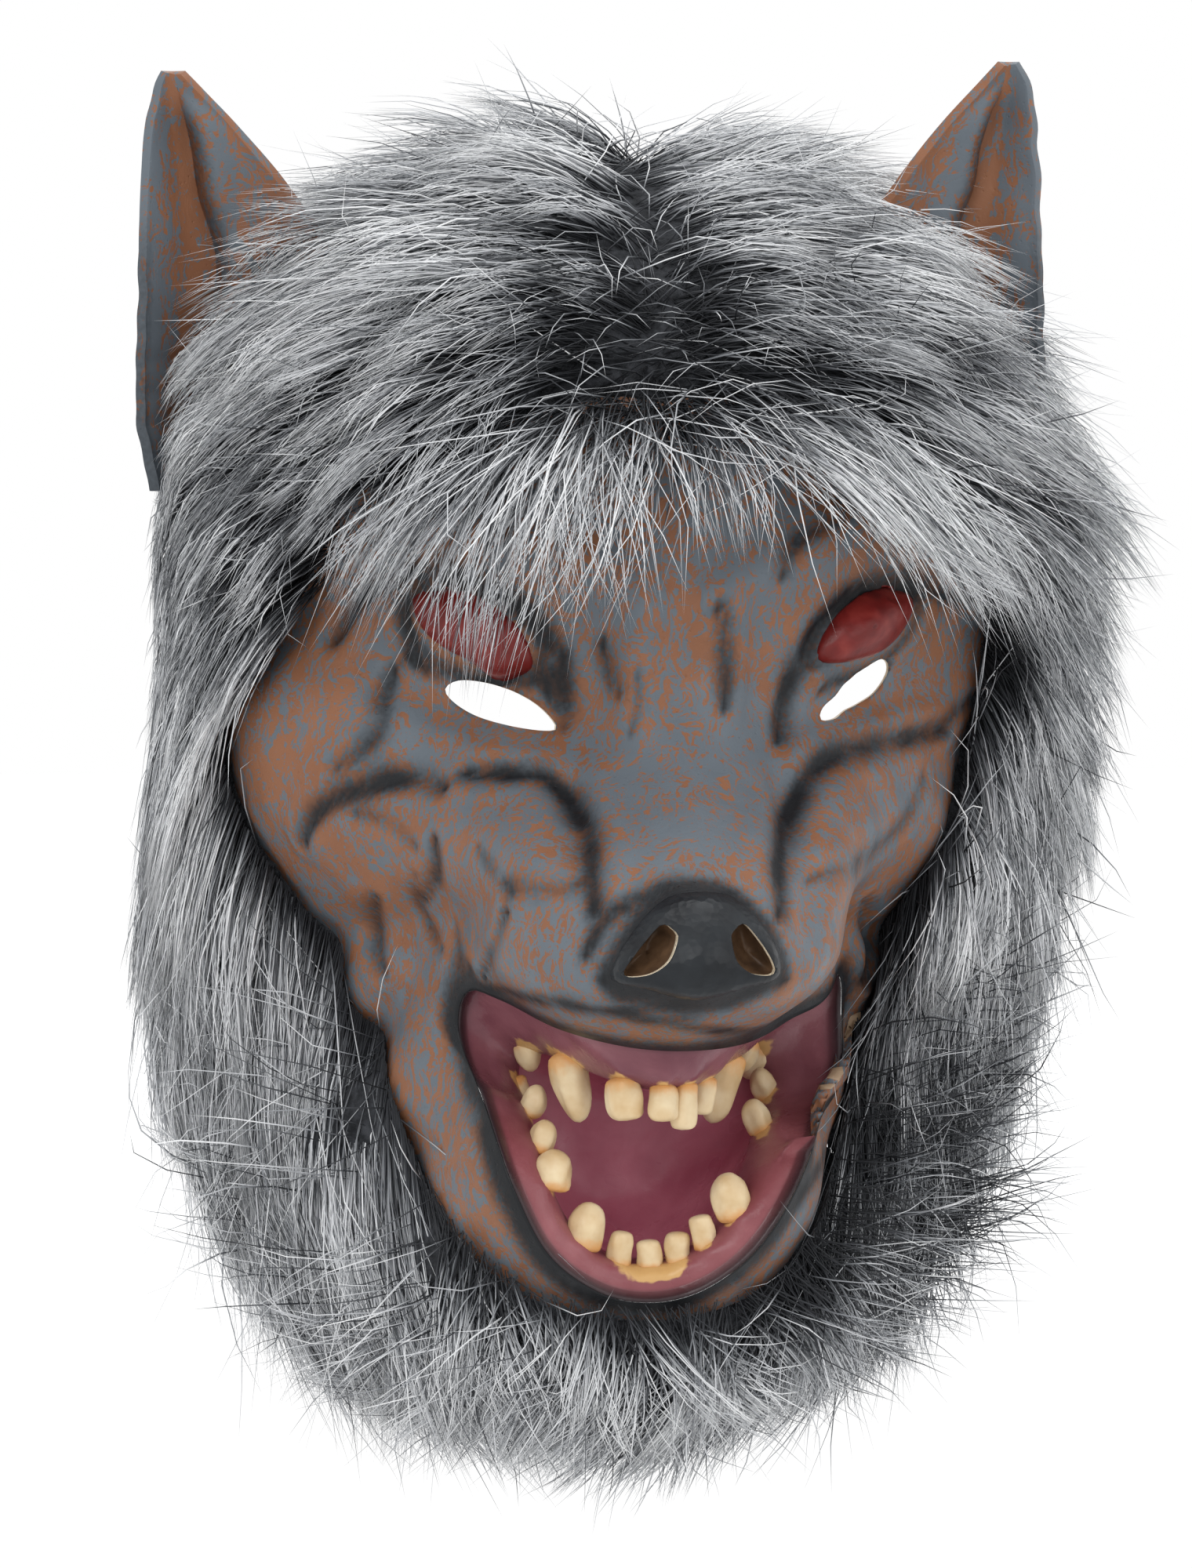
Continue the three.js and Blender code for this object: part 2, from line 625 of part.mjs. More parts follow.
function liningPoint(share, ring) {
  const lip = innerLip(share);
  const inset = ring.inset + gumSwing * ring.swing * Math.cos(turn * share);
  return new THREE.Vector3(
    THREE.MathUtils.lerp(lip.x, mouthCentre.x, inset),
    THREE.MathUtils.lerp(lip.y, mouthCentre.y, ring.depth) + ring.back * faceDepth,
    THREE.MathUtils.lerp(lip.z, mouthCentre.z, inset),
  );
}

const liningGrid = Array.from({ length: liningSpokes }, (_, spoke) =>
  liningRings.map((ring) => liningPoint(spoke / liningSpokes, ring)),
);
const liningNormals = gridNormals(liningGrid, true);
for (const row of liningNormals) {
  row[row.length - 1].set(0, 1, 0);
}
const liningBack = liningGrid.map((row, spoke) =>
  row.map((point, ring) =>
    point.clone().addScaledVector(liningNormals[spoke][ring], gumWall * liningRings[ring].wall),
  ),
);
const lining = sheetSolid(liningBack, liningGrid, true);
addPiece("mouth_lining", lining, gumLatex);

// Teeth: around is a share of the way round the lip line from the middle of the upper lip.
const teeth = [
  { name: "incisor_left_outer", jaw: -1, around: 0.928, width: 1.0, length: 1.0 },
  { name: "incisor_left_inner", jaw: -1, around: 0.981, width: 0.85, length: 0.85 },
  { name: "incisor_right_inner", jaw: -1, around: 0.017, width: 0.85, length: 1.1 },
  { name: "incisor_right_outer", jaw: -1, around: 0.057, width: 0.85, length: 0.9 },
  { name: "canine_right", jaw: -1, around: 0.108, width: 1.1, length: 1.75 },
  { name: "premolar_right", jaw: -1, around: 0.151, width: 0.85, length: 0.85 },
  { name: "molar_right", jaw: -1, around: 0.198, width: 0.8, length: 0.85 },
  { name: "canine_left", jaw: -1, around: 0.868, width: 1.1, length: 1.75 },
  { name: "premolar_left", jaw: -1, around: 0.831, width: 0.75, length: 0.85 },
  { name: "molar_left", jaw: -1, around: 0.779, width: 0.8, length: 0.95 },
  { name: "lower_molar_left", jaw: 1, around: 0.74, width: 0.75, length: 0.8 },
  { name: "lower_side_left", jaw: 1, around: 0.703, width: 0.8, length: 0.8 },
  { name: "lower_back_left", jaw: 1, around: 0.662, width: 1.1, length: 0.95 },
  { name: "lower_canine_left", jaw: 1, around: 0.583, width: 1.05, length: 1.15 },
  { name: "lower_front_1", jaw: 1, around: 0.537, width: 0.66, length: 0.9 },
  { name: "lower_front_2", jaw: 1, around: 0.504, width: 0.68, length: 0.75 },
  { name: "lower_front_3", jaw: 1, around: 0.473, width: 0.68, length: 0.8 },
  { name: "lower_front_4", jaw: 1, around: 0.441, width: 0.66, length: 0.85 },
  { name: "lower_canine_right", jaw: 1, around: 0.394, width: 1.05, length: 1.15 },
  { name: "lower_back_right", jaw: 1, around: 0.288, width: 0.9, length: 0.85 },
  { name: "lower_molar_right", jaw: 1, around: 0.246, width: 0.8, length: 0.8 },
];
const toothRings = [
  { name: "root", up: -0.28, girth: 0.85 },
  { name: "belly", up: 0.35, girth: 1.0 },
  { name: "shoulder", up: 0.74, girth: 0.76 },
  { name: "point", up: 1, girth: 0.24 },
];
const toothSides = 6;
const toothFlatness = 0.8; // front to back against across
const toothTuck = 0.4; // slope that the side teeth lean in by
const toothTuckReach = 0.33 * halfWidth; // and where they lean in fully
const toothRake = 0.1; // slope that every tooth leans forward by
const toothSeatGap = 1.5 * fitGap; // from the gum to the side of a tooth
const lipStep = 0.01; // a small share of the lip line
const gumCrest = liningRings.find((ring) => ring.name === "gum_crest");
const liningKeepOut = sheetSolid(
  offsetGrid(liningBack, liningNormals, fitGap),
  offsetGrid(liningGrid, liningNormals, -toothSeatGap),
  true,
);

function toothSolid(tooth) {
  const seat = liningPoint(tooth.around, gumCrest);
  const along = liningPoint((tooth.around + lipStep) % 1, gumCrest).sub(seat).normalize();
  const inward = -toothTuck * THREE.MathUtils.clamp(seat.x / toothTuckReach, -1, 1);
  const axis = new THREE.Vector3(inward, -toothRake, tooth.jaw).normalize();
  along.addScaledVector(axis, -along.dot(axis)).normalize();
  const thick = axis.clone().cross(along);
  const radius = (toothWidth * tooth.width) / 2;
  const points = [];
  for (const ring of toothRings) {
    const centre = seat.clone().addScaledVector(axis, ring.up * tooth.length * toothLength);
    for (let side = 0; side < toothSides; side += 1) {
      const angle = (turn * side) / toothSides;
      points.push(
        centre
          .clone()
          .addScaledVector(along, radius * ring.girth * Math.cos(angle))
          .addScaledVector(thick, radius * ring.girth * toothFlatness * Math.sin(angle)),
      );
    }
  }
  const triangles = [];
  const last = toothRings.length - 1;
  for (let side = 0; side < toothSides; side += 1) {
    const next = (side + 1) % toothSides;
    for (let ring = 0; ring < last; ring += 1) {
      const [a, b] = [ring * toothSides + side, ring * toothSides + next];
      triangles.push([a, b, b + toothSides], [a, b + toothSides, a + toothSides]);
    }
    if (side > 0 && side < toothSides - 1) {
      triangles.push([0, next, side]);
      triangles.push([last * toothSides, last * toothSides + side, last * toothSides + next]);
    }
  }
  return solidFrom(points, triangles).subtract(liningKeepOut).subtract(lining);
}

for (const tooth of teeth) {
  addPiece(`tooth_${tooth.name}`, largestPiece(toothSolid(tooth)), enamel);
}

// Fur cloth: a sheet from the front edge of the fur, over the latex, out to its loose edge.
const furSeat = 1.2; // the cloth and its glue stand this far off the latex

function furPoint(roll, along, lift) {
  const front = aim(roll, furEdge(roll));
  const free = aim(roll, rimValue(roll, "freeEdge"));
  const direction = directionBetween(front, free, along);
  const onSkin = skinPoint(direction).distanceTo(faceCentre) + furSeat;
  const frontReachOut = skinPoint(front).distanceTo(faceCentre) + furSeat;
  const freeReachOut = sideValue(roll, "reachRight", "reachLeft") * halfWidth;
  const spread = THREE.MathUtils.lerp(frontReachOut, freeReachOut, along);
  return faceCentre.clone().addScaledVector(direction, Math.max(onSkin, spread) + lift);
}

// Rows of locks. along runs from the front edge of the cloth to its loose edge. A lock leaves along the
// cloth toward the face (toFace), away from the middle line (aside) and down (down), stands off it by lift
// and sags under its weight by sag, each as a share of its length; size is its length against an
// ordinary lock's.
const crownRows = [
  { name: "fringe", along: 0.08, locks: 6, size: 0.85, toFace: 1, aside: 0.1, down: 0.3, lift: 0.12, sag: 0.05 },
  { name: "brow", along: 0.38, locks: 4, size: 0.9, toFace: 0.8, aside: 0.4, down: 0.6, lift: 0.14, sag: 0 },
  { name: "parting", along: 0.66, locks: 4, size: 0.85, toFace: 0.2, aside: 0.6, down: 0.6, lift: 0.14, sag: 0 },
  { name: "top", along: 0.9, locks: 6, size: 0.7, toFace: -0.2, aside: 0.4, down: 0.1, lift: 0.9, sag: 0 },
];
const rightRows = [
  { name: "cheek", along: 0.12, locks: 3, size: 0.85, toFace: 0.25, aside: 0.1, down: 1, lift: 0.2, sag: 0.05 },
  { name: "middle", along: 0.52, locks: 4, size: 1, toFace: 0, aside: 0.2, down: 1, lift: 0.28, sag: 0.05 },
  { name: "outside", along: 0.94, locks: 4, size: 1, toFace: 0, aside: 0.5, down: 0.9, lift: 0.3, sag: 0.1 },
];
const chinRows = [
  { name: "jaw", along: 0.14, locks: 3, size: 0.7, toFace: 0, aside: 0.3, down: 1, lift: 0.3, sag: 0 },
  { name: "throat", along: 0.54, locks: 3, size: 0.8, toFace: 0, aside: 0.4, down: 1, lift: 0.3, sag: 0 },
  { name: "foot", along: 0.94, locks: 4, size: 1, toFace: 0, aside: 0.5, down: 1, lift: 0.3, sag: 0 },
];
const leftRows = [
  { name: "cheek", along: 0.12, locks: 3, size: 0.85, toFace: 0.1, aside: 0.1, down: 1, lift: 0.2, sag: 0.1 },
  { name: "middle", along: 0.52, locks: 4, size: 1.1, toFace: 0, aside: 0.2, down: 1, lift: 0.26, sag: 0.1 },
  { name: "outside", along: 0.94, locks: 4, size: 1.05, toFace: 0, aside: 0.4, down: 1, lift: 0.28, sag: 0.15 },
];
const furPieces = [
  { name: "crown_fur", from: -65, to: 65, spokes: 12, rows: crownRows },
  { name: "mane_right", from: 66, to: 144.5, spokes: 7, rows: rightRows },
  { name: "chin_fur", from: 145.5, to: 214.5, spokes: 7, rows: chinRows },
  { name: "mane_left", from: 215.5, to: 294, spokes: 7, rows: leftRows },
];
const lockSections = [
  { name: "root", run: 0, width: 0.75, thickness: 0.4 },
  { name: "body", run: 0.35, width: 1, thickness: 1 },
  { name: "taper", run: 0.72, width: 0.72, thickness: 0.75 },
  { name: "tip", run: 1, width: 0.14, thickness: 0.12 },
];
const lockThickness = 0.4; // of the width
const lockRoot = 1.4; // how deep the root sits in the cloth
const lockClearance = 4; // locks that lie over the face stay this far off it
const clothRings = 5;
const sizeSwing = 0.14; // neighbouring locks differ by this share
const swingAlong = 2.4; // turn of the swing from lock to lock
const swingRows = 1.7; // and from row to row
const rowShift = 0.25; // every second row is moved on by this share of half a lock's room
const combStep = 20; // degrees over which the way to the face is taken
const midline = 0.42; // past this share of the head's half width the fur is combed fully aside

// The point, or where it is too near the head the place straight above it that is clear.
function liftedClear(point, clearance) {
  const out = point.clone().sub(faceCentre);
  const reach = skinPoint(out.clone().normalize()).distanceTo(faceCentre) + clearance;
  return out.length() < reach ? faceCentre.clone().addScaledVector(out.normalize(), reach) : point;
}

// Centre line of a lock: it follows the round of the head from its root, standing off and sagging.
function lockPath(roll, row, size) {
  const root = furPoint(roll, row.along, furBacking - lockRoot);
  const edge = furEdge(roll);
  const toFace = aim(roll, edge - combStep).sub(aim(roll, edge)).normalize();
  const aside = THREE.MathUtils.clamp(root.x / (midline * halfWidth), -1, 1) * row.aside;
  const comb = new THREE.Vector3(aside, 0, -row.down).addScaledVector(toFace, row.toFace);
  const length = lockLength * size * row.size;
  const path = [root];
  for (let at = 1; at < lockSections.length; at += 1) {
    const here = path[at - 1];
    const run = lockSections[at].run;
    const off = here.clone().sub(faceCentre).normalize();
    const heading = comb.clone().addScaledVector(off, -comb.dot(off)).normalize();
    heading.addScaledVector(off, row.lift).add(new THREE.Vector3(0, 0, -row.sag * run)).normalize();
    const next = here.clone().addScaledVector(heading, (run - lockSections[at - 1].run) * length);
    path.push(liftedClear(next, lockClearance));
  }
  return path;
}

function lockSolid(roll, row, size) {
  const path = lockPath(roll, row, size);
  const points = [];
  path.forEach((point, at) => {
    const before = path[Math.max(at - 1, 0)];
    const along = path[Math.min(at + 1, path.length - 1)].clone().sub(before).normalize();
    const face = point.clone().sub(faceCentre).normalize();
    const across = along.clone().cross(face).normalize();
    const up = across.clone().cross(along).normalize();
    const width = (lockWidth * lockSections[at].width * size) / 2;
    const thickness = ((lockWidth * lockThickness) / 2) * lockSections[at].thickness * size;
    points.push(
      point.clone().addScaledVector(across, width),
      point.clone().addScaledVector(up, thickness),
      point.clone().addScaledVector(across, -width),
    );
  });
  const corners = 3;
  const last = (lockSections.length - 1) * corners;
  const triangles = [
    [0, 1, 2],
    [last, last + 2, last + 1],
  ];
  for (let ring = 0; ring < lockSections.length - 1; ring += 1) {
    for (let corner = 0; corner < corners; corner += 1) {
      const [a, b] = [ring * corners + corner, ring * corners + ((corner + 1) % corners)];
      triangles.push([a, b + corners, b], [a, a + corners, b + corners]);
    }
  }
  return solidFrom(points, triangles);
}

const furDone = [];
const earCutters = ears.map((ear) => earSolid(ear, 2 * fitGap));
for (const piece of furPieces) {
  const cloth = Array.from({ length: piece.spokes + 1 }, (_, spoke) =>
    Array.from({ length: clothRings + 1 }, (_, ring) =>
      furPoint(THREE.MathUtils.lerp(piece.from, piece.to, spoke / piece.spokes), ring / clothRings, 0),
    ),
  );
  const clothTop = offsetGrid(cloth, gridNormals(cloth, false), furBacking);
  let fur = sheetSolid(clothTop, cloth, false);
  piece.rows.forEach((row, at) => {
    const half = (0.5 * (piece.to - piece.from)) / row.locks;
    for (let lock = 0; lock < row.locks; lock += 1) {
      const shift = at % 2 === 0 ? 0 : rowShift * half;
      const roll = piece.from + half * (2 * lock + 1) + shift;
      const size = 1 + sizeSwing * Math.sin(swingAlong * lock + swingRows * at);
      fur = fur.add(lockSolid(roll, row, size));
    }
  });
  fur = fur.subtract(headCutter);
  for (const cutter of earCutters) {
    fur = fur.subtract(cutter);
  }
  for (const done of furDone) {
    fur = fur.subtract(done);
  }
  const whole = largestPiece(fur);
  furDone.push(whole);
  addPiece(piece.name, whole, pile);
}

// Head band: a flat band from inside one side of the head round the back to the other.
const bandSteps = 16;
const bandTuck = 16; // degrees that each end runs forward inside the latex
const bandSeat = 6 * fitGap; // the band lies this far off the facets of the latex
const bandHalfSpan = skull.rx * halfWidth - wallThickness - bandSeat - elasticThickness;
const bandDepth = 1.01 * faceDepth;
const bandBack = skull.y * faceDepth;
const bandHeight = skull.z * faceHeight;

function bandGrid(offset) {
  return Array.from({ length: bandSteps + 1 }, (_, step) => {
    const angle = THREE.MathUtils.lerp(-bandTuck, 180 + bandTuck, step / bandSteps) * degree;
    const out = new THREE.Vector3(Math.cos(angle), Math.sin(angle), 0);
    const centre = new THREE.Vector3(out.x * bandHalfSpan, bandBack + out.y * bandDepth, bandHeight);
    centre.addScaledVector(out, offset);
    return [-1, 1].map((edge) => centre.clone().setZ(bandHeight + (edge * elasticWidth) / 2));
  });
}

addPiece("head_elastic", sheetSolid(bandGrid(elasticThickness), bandGrid(0), false), elastic);

export default mask;
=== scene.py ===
import math

import bpy
import numpy as np
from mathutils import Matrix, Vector, noise
from mathutils.kdtree import KDTree


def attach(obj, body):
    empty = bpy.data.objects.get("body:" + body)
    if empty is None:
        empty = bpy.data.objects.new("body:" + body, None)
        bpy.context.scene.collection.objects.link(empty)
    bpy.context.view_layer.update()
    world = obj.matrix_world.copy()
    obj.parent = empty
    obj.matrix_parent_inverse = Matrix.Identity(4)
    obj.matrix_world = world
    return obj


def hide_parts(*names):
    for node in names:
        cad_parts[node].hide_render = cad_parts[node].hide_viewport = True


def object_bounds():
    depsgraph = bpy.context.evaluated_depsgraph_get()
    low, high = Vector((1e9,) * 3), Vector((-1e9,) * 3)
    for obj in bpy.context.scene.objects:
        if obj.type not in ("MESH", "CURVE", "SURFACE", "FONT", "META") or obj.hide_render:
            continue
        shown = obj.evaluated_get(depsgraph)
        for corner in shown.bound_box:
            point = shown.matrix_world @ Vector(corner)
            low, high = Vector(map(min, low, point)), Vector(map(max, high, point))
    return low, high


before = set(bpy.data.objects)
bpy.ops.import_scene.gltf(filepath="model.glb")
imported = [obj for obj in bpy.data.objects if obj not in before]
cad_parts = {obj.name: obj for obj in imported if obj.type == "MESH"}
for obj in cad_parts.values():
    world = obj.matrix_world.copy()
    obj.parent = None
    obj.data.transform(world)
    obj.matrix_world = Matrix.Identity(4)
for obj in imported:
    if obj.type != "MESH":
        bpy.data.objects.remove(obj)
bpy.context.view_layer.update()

# The mask is shaped in millimetres with z 0 at the eye slits and y 0 at the ears, as its solids are.
MM = 0.001
HALF_WIDTH = 91.0
FACE_DEPTH = 91.0
FACE_HEIGHT = 249.0
WALL = 1.6
GAP = 0.3
HEAD_TOP = (0.1 + 0.369) * FACE_HEIGHT - WALL
PHOTO_WIDTH = 1520
PHOTO_HEIGHT = 2000

# Camera of the photograph
CAMERA_DISTANCE = 1.3
FACE_BEFORE_TARGET = 0.088
FRAME_ACROSS_FACE = 0.330
SENSOR_WIDTH = 36
camera_turn = math.radians(-9)
camera_tilt = math.radians(2)
camera_target = Vector((-0.0035, 0, -0.0207 - HEAD_TOP * MM))
camera_back = Vector((
    math.sin(camera_turn) * math.cos(camera_tilt),
    -math.cos(camera_turn) * math.cos(camera_tilt),
    math.sin(camera_tilt),
))
camera_data = bpy.data.cameras.new("photo_camera")
camera_data.sensor_width = SENSOR_WIDTH
camera_data.lens = SENSOR_WIDTH * (CAMERA_DISTANCE - FACE_BEFORE_TARGET) / FRAME_ACROSS_FACE
camera = bpy.data.objects.new("photo_camera", camera_data)
bpy.context.scene.collection.objects.link(camera)
camera.location = camera_target + camera_back * CAMERA_DISTANCE
camera.rotation_euler = camera_back.to_track_quat("Z", "Y").to_euler()
bpy.context.scene.camera = camera

CAMERA_PLACE = np.array(camera.location)
CAMERA_AXES = np.array(camera_back.to_track_quat("Z", "Y").to_matrix())
CAMERA_SCALE = camera_data.lens / SENSOR_WIDTH * PHOTO_HEIGHT


# Smooth helpers
def smoothstep(value, low, high):
    share = np.clip((value - low) / (high - low), 0, 1)
    return share * share * (3 - 2 * share)


def unit(vectors):
    return vectors / np.maximum(np.linalg.norm(vectors, axis=-1, keepdims=True), 1e-9)


def smooth_curve(points, steps, closed=False):
    """Points on a smooth curve through the given ones, evenly spaced along it."""
    points = np.asarray(points, float)
    if closed:
        padded = np.vstack([points[-1:], points, points[:2]])
    else:
        padded = np.vstack([2 * points[:1] - points[1:2], points, 2 * points[-1:] - points[-2:-1]])
    fine = []
    for at in range(len(padded) - 3):
        p0, p1, p2, p3 = padded[at:at + 4]
        for share in np.linspace(0, 1, 60, endpoint=False):
            fine.append(0.5 * (2 * p1 + (p2 - p0) * share + (2 * p0 - 5 * p1 + 4 * p2 - p3) * share**2
                               + (3 * p1 - p0 - 3 * p2 + p3) * share**3))
    fine.append(padded[-2])
    fine = np.array(fine)
    run = np.concatenate([[0], np.cumsum(np.linalg.norm(np.diff(fine, axis=0), axis=1))])
    wanted = np.linspace(0, run[-1], steps, endpoint=not closed)
    return np.stack([np.interp(wanted, run, fine[:, axis]) for axis in range(points.shape[1])], 1)


# The jaw hangs over to one side; the frame's origin is the top of the hollow for the head.
JAW_LEAN = 9.0


def placed(points):
    """The row's metres of points in the mask's millimetres."""
    points = np.array(points, float)
    points[..., 0] += -JAW_LEAN * (1 - smoothstep(points[..., 2], -0.36 * FACE_HEIGHT, 0.08 * FACE_HEIGHT))
    points[..., 2] -= HEAD_TOP
    return points * MM


def photo_pixels(points):
    """Where millimetre points fall in the photograph, and how far they are from the camera."""
    seen = (placed(points) - CAMERA_PLACE) @ CAMERA_AXES
    depth = -seen[..., 2]
    return (PHOTO_WIDTH / 2 + seen[..., 0] / depth * CAMERA_SCALE,
            PHOTO_HEIGHT / 2 - seen[..., 1] / depth * CAMERA_SCALE, depth)


# Rounded masses of the head: centre and radii as shares, pitch in degrees, blend
MASSES = [
    (0, 0.088, 0.1, 0.989, 1.077, 0.369, 0, 0),
    (0, -0.242, -0.185, 0.681, 0.791, 0.305, 0, 0.4),
    (0, -1.033, -0.161, 0.429, 0.604, 0.1, 18, 0.22),
    (0, -0.791, -0.405, 0.462, 0.582, 0.149, -12, 0.24),
]

# Ridges and hollows seen from the front: x, z, across, up, roll, rise; a row of ONE_SIDED has its side too
RELIEF = [
    (0, -0.056, 0.12, 0.12, 0, 0.044),
    (0.46, 0.133, 0.38, 0.032, 22, 0.1),
    (0.11, 0.03, 0.05, 0.06, 0, 0.04),
    (0, 0.05, 0.055, 0.064, 0, -0.035),
    (0.48, 0.044, 0.27, 0.062, 22, -0.1),
    (0.47, 0.056, 0.15, 0.028, 24, 0.1),
    (0.44, -0.036, 0.22, 0.02, 12, 0.03),
    (0.6, -0.112, 0.22, 0.052, -14, 0.075),
    (0.36, -0.112, 0.11, 0.052, -6, 0.07),
    (0.25, -0.104, 0.04, 0.072, 4, -0.045),
    (0.57, -0.2, 0.18, 0.028, -20, -0.045),
    (0.24, -0.221, 0.14, 0.04, 0, 0.045),
    (0, -0.193, 0.2, 0.045, 0, 0.06),
    (0.49, -0.329, 0.066, 0.104, 16, 0.055),
    (0.58, -0.313, 0.044, 0.096, 16, -0.033),
]
ONE_SIDED = [(0.8, -0.045, 0.16, 0.085, 0, 0.155, -1), (0.67, -0.3, 0.12, 0.07, 0, 0.09, 1)]
LIP_LINE = [
    (0, -0.285), (0.154, -0.281), (0.297, -0.267), (0.396, -0.247), (0.451, -0.241), (0.462, -0.273),
    (0.418, -0.333), (0.341, -0.398), (0.242, -0.458), (0.121, -0.492), (0, -0.502),
]

# Edges round the face by roll: latex edge, fur edge right and left, loose edge in degrees, its reach
# right and left
FACE_RIM = np.array([
    (0, 109, 62, 62, 108, 1.62, 1.62), (25, 108, 65, 65, 107, 1.55, 1.55),
    (45, 108, 77, 77, 106, 1.38, 1.38), (60, 107, 84, 84, 106, 1.2, 1.18),
    (75, 104, 82, 91, 107, 1.14, 1.08), (95, 99, 68, 87, 106, 1.12, 1.04),
    (115, 92, 72, 79, 102, 1.16, 1.07), (140, 84, 67, 66, 95, 1.28, 1.24), (160, 78, 57, 57, 85, 1.31, 1.3),
    (180, 74, 54, 54, 76, 1.36, 1.36),
])
LATEX_EDGE, FUR_EDGE, FUR_EDGE_LEFT, FREE_EDGE, FREE_REACH, FREE_REACH_LEFT = range(1, 7)

FACE_CENTRE = np.array([0, -0.33 * FACE_DEPTH, -0.129 * FACE_HEIGHT])
MOUTH_CENTRE = np.array([0, -0.66 * FACE_DEPTH, -0.386 * FACE_HEIGHT])
FRONT_REACH = 2.64 * FACE_DEPTH
AHEAD = np.array([0.0, -1.0, 0.0])


def head_distance(points):
    distance = np.full(points.shape[:-1], np.inf)
    for x, y, z, rx, ry, rz, pitch, blend in MASSES:
        dx = points[..., 0] - x * HALF_WIDTH
        dy = points[..., 1] - y * FACE_DEPTH
        dz = points[..., 2] - z * FACE_HEIGHT
        turned = math.radians(pitch)
        across = dy * math.cos(turned) + dz * math.sin(turned)
        up = dz * math.cos(turned) - dy * math.sin(turned)
        rx, ry, rz = rx * HALF_WIDTH, ry * FACE_DEPTH, rz * FACE_HEIGHT
        scaled = np.sqrt((dx / rx)**2 + (across / ry)**2 + (up / rz)**2)
        slope = np.sqrt((dx / rx**2)**2 + (across / ry**2)**2 + (up / rz**2)**2)
        here = scaled * (scaled - 1) / np.maximum(slope, 1e-9)
        if blend > 0:
            blend = blend * FACE_DEPTH
            overlap = np.maximum(blend - np.abs(distance - here), 0) / blend
            distance = np.minimum(distance, here) - overlap * overlap * blend / 4
        else:
            distance = np.minimum(distance, here)
    return distance


def relief_rise(points):
    rise = np.zeros(points.shape[:-1])
    both_sides = [(*row, side) for row in RELIEF for side in ([1] if row[0] == 0 else [1, -1])]
    for x, z, wide, tall, roll, height, side in both_sides + ONE_SIDED:
        dx = points[..., 0] - side * x * HALF_WIDTH
        dz = points[..., 2] - z * FACE_HEIGHT
        turned = side * math.radians(roll)
        across = (dx * math.cos(turned) + dz * math.sin(turned)) / (wide * HALF_WIDTH)
        up = (dz * math.cos(turned) - dx * math.sin(turned)) / (tall * FACE_HEIGHT)
        rise += height * FACE_DEPTH * np.exp(-across**2 - up**2)
    return rise * np.clip((0.22 * FACE_DEPTH - points[..., 1]) / (0.66 * FACE_DEPTH), 0, 1)


def mass_hit(start, direction, far):
    travel = np.full(direction.shape[:-1], float(far))
    for _ in range(44):
        point = start + direction * travel[..., None]
        travel = travel - np.clip(head_distance(point) * 0.8, -6, 15)
    return travel


def plain_skin(direction):
    """Points of the skin in directions from the middle of the face."""
    travel = mass_hit(FACE_CENTRE, direction, FRONT_REACH)
    plain = FACE_CENTRE + direction * travel[..., None]
    return FACE_CENTRE + direction * (travel + relief_rise(plain))[..., None]


def rim_value(roll, column):
    side = np.mod(roll, 360)
    side = np.where(side > 180, 360 - side, side)
    after = np.clip(np.searchsorted(FACE_RIM[:, 0], side), 1, len(FACE_RIM) - 1)
    low, high = FACE_RIM[after - 1], FACE_RIM[after]
    mix = smoothstep(side, low[..., 0], high[..., 0])
    return low[..., column] + (high[..., column] - low[..., column]) * mix


def side_value(roll, right, left):
    return np.where(np.mod(roll, 360) > 180, rim_value(roll, left), rim_value(roll, right))


def aim(roll, away):
    roll, away = np.radians(roll), np.radians(away)
    return np.stack([np.sin(roll) * np.sin(away), -np.cos(away), np.cos(roll) * np.sin(away)], -1)


def direction_between(start, end, share):
    angle = np.arccos(np.clip(np.sum(start * end, -1), -1, 1))[..., None]
    share = share[..., None]
    return (np.sin((1 - share) * angle) * start + np.sin(share * angle) * end) / np.sin(angle)


# The upper lip is drawn to one side, as a share of the half width
LIP_PULL = 0.06
lip_half = [(x * HALF_WIDTH, z * FACE_HEIGHT) for x, z in LIP_LINE]
lip_loop = np.array(lip_half + [(-x, z) for x, z in lip_half[-2:0:-1]])
lip_loop[:, 0] += LIP_PULL * HALF_WIDTH * smoothstep(lip_loop[:, 1], -0.46 * FACE_HEIGHT, -0.28 * FACE_HEIGHT)
LIP_FINE = smooth_curve(lip_loop, 2400, closed=True)


def lip_direction(share):
    at = np.mod(share, 1) * len(LIP_FINE)
    low = np.floor(at).astype(int) % len(LIP_FINE)
    high = (low + 1) % len(LIP_FINE)
    mix = (at - np.floor(at))[..., None]
    flat = LIP_FINE[low] * (1 - mix) + LIP_FINE[high] * mix
    start = np.stack([flat[..., 0], np.zeros(flat.shape[:-1]), flat[..., 1]], -1)
    travel = mass_hit(start, np.broadcast_to(AHEAD, start.shape), FRONT_REACH)
    return unit(start + AHEAD * travel[..., None] - FACE_CENTRE)


def spoke_share(even):
    return even - 0.35 * np.sin(2 * math.pi * even) / (2 * math.pi)


def grid_normals(grid, loops):
    if loops:
        across = np.roll(grid, -1, 0) - np.roll(grid, 1, 0)
    else:
        across = np.gradient(grid, axis=0)
    return unit(np.cross(across, np.gradient(grid, axis=1)))


def finder_of(places):
    """Finds the number of the nearest of some places."""
    finder = KDTree(len(places))
    for at, place in enumerate(places):
        finder.insert(place, at)
    finder.balance()
    return finder


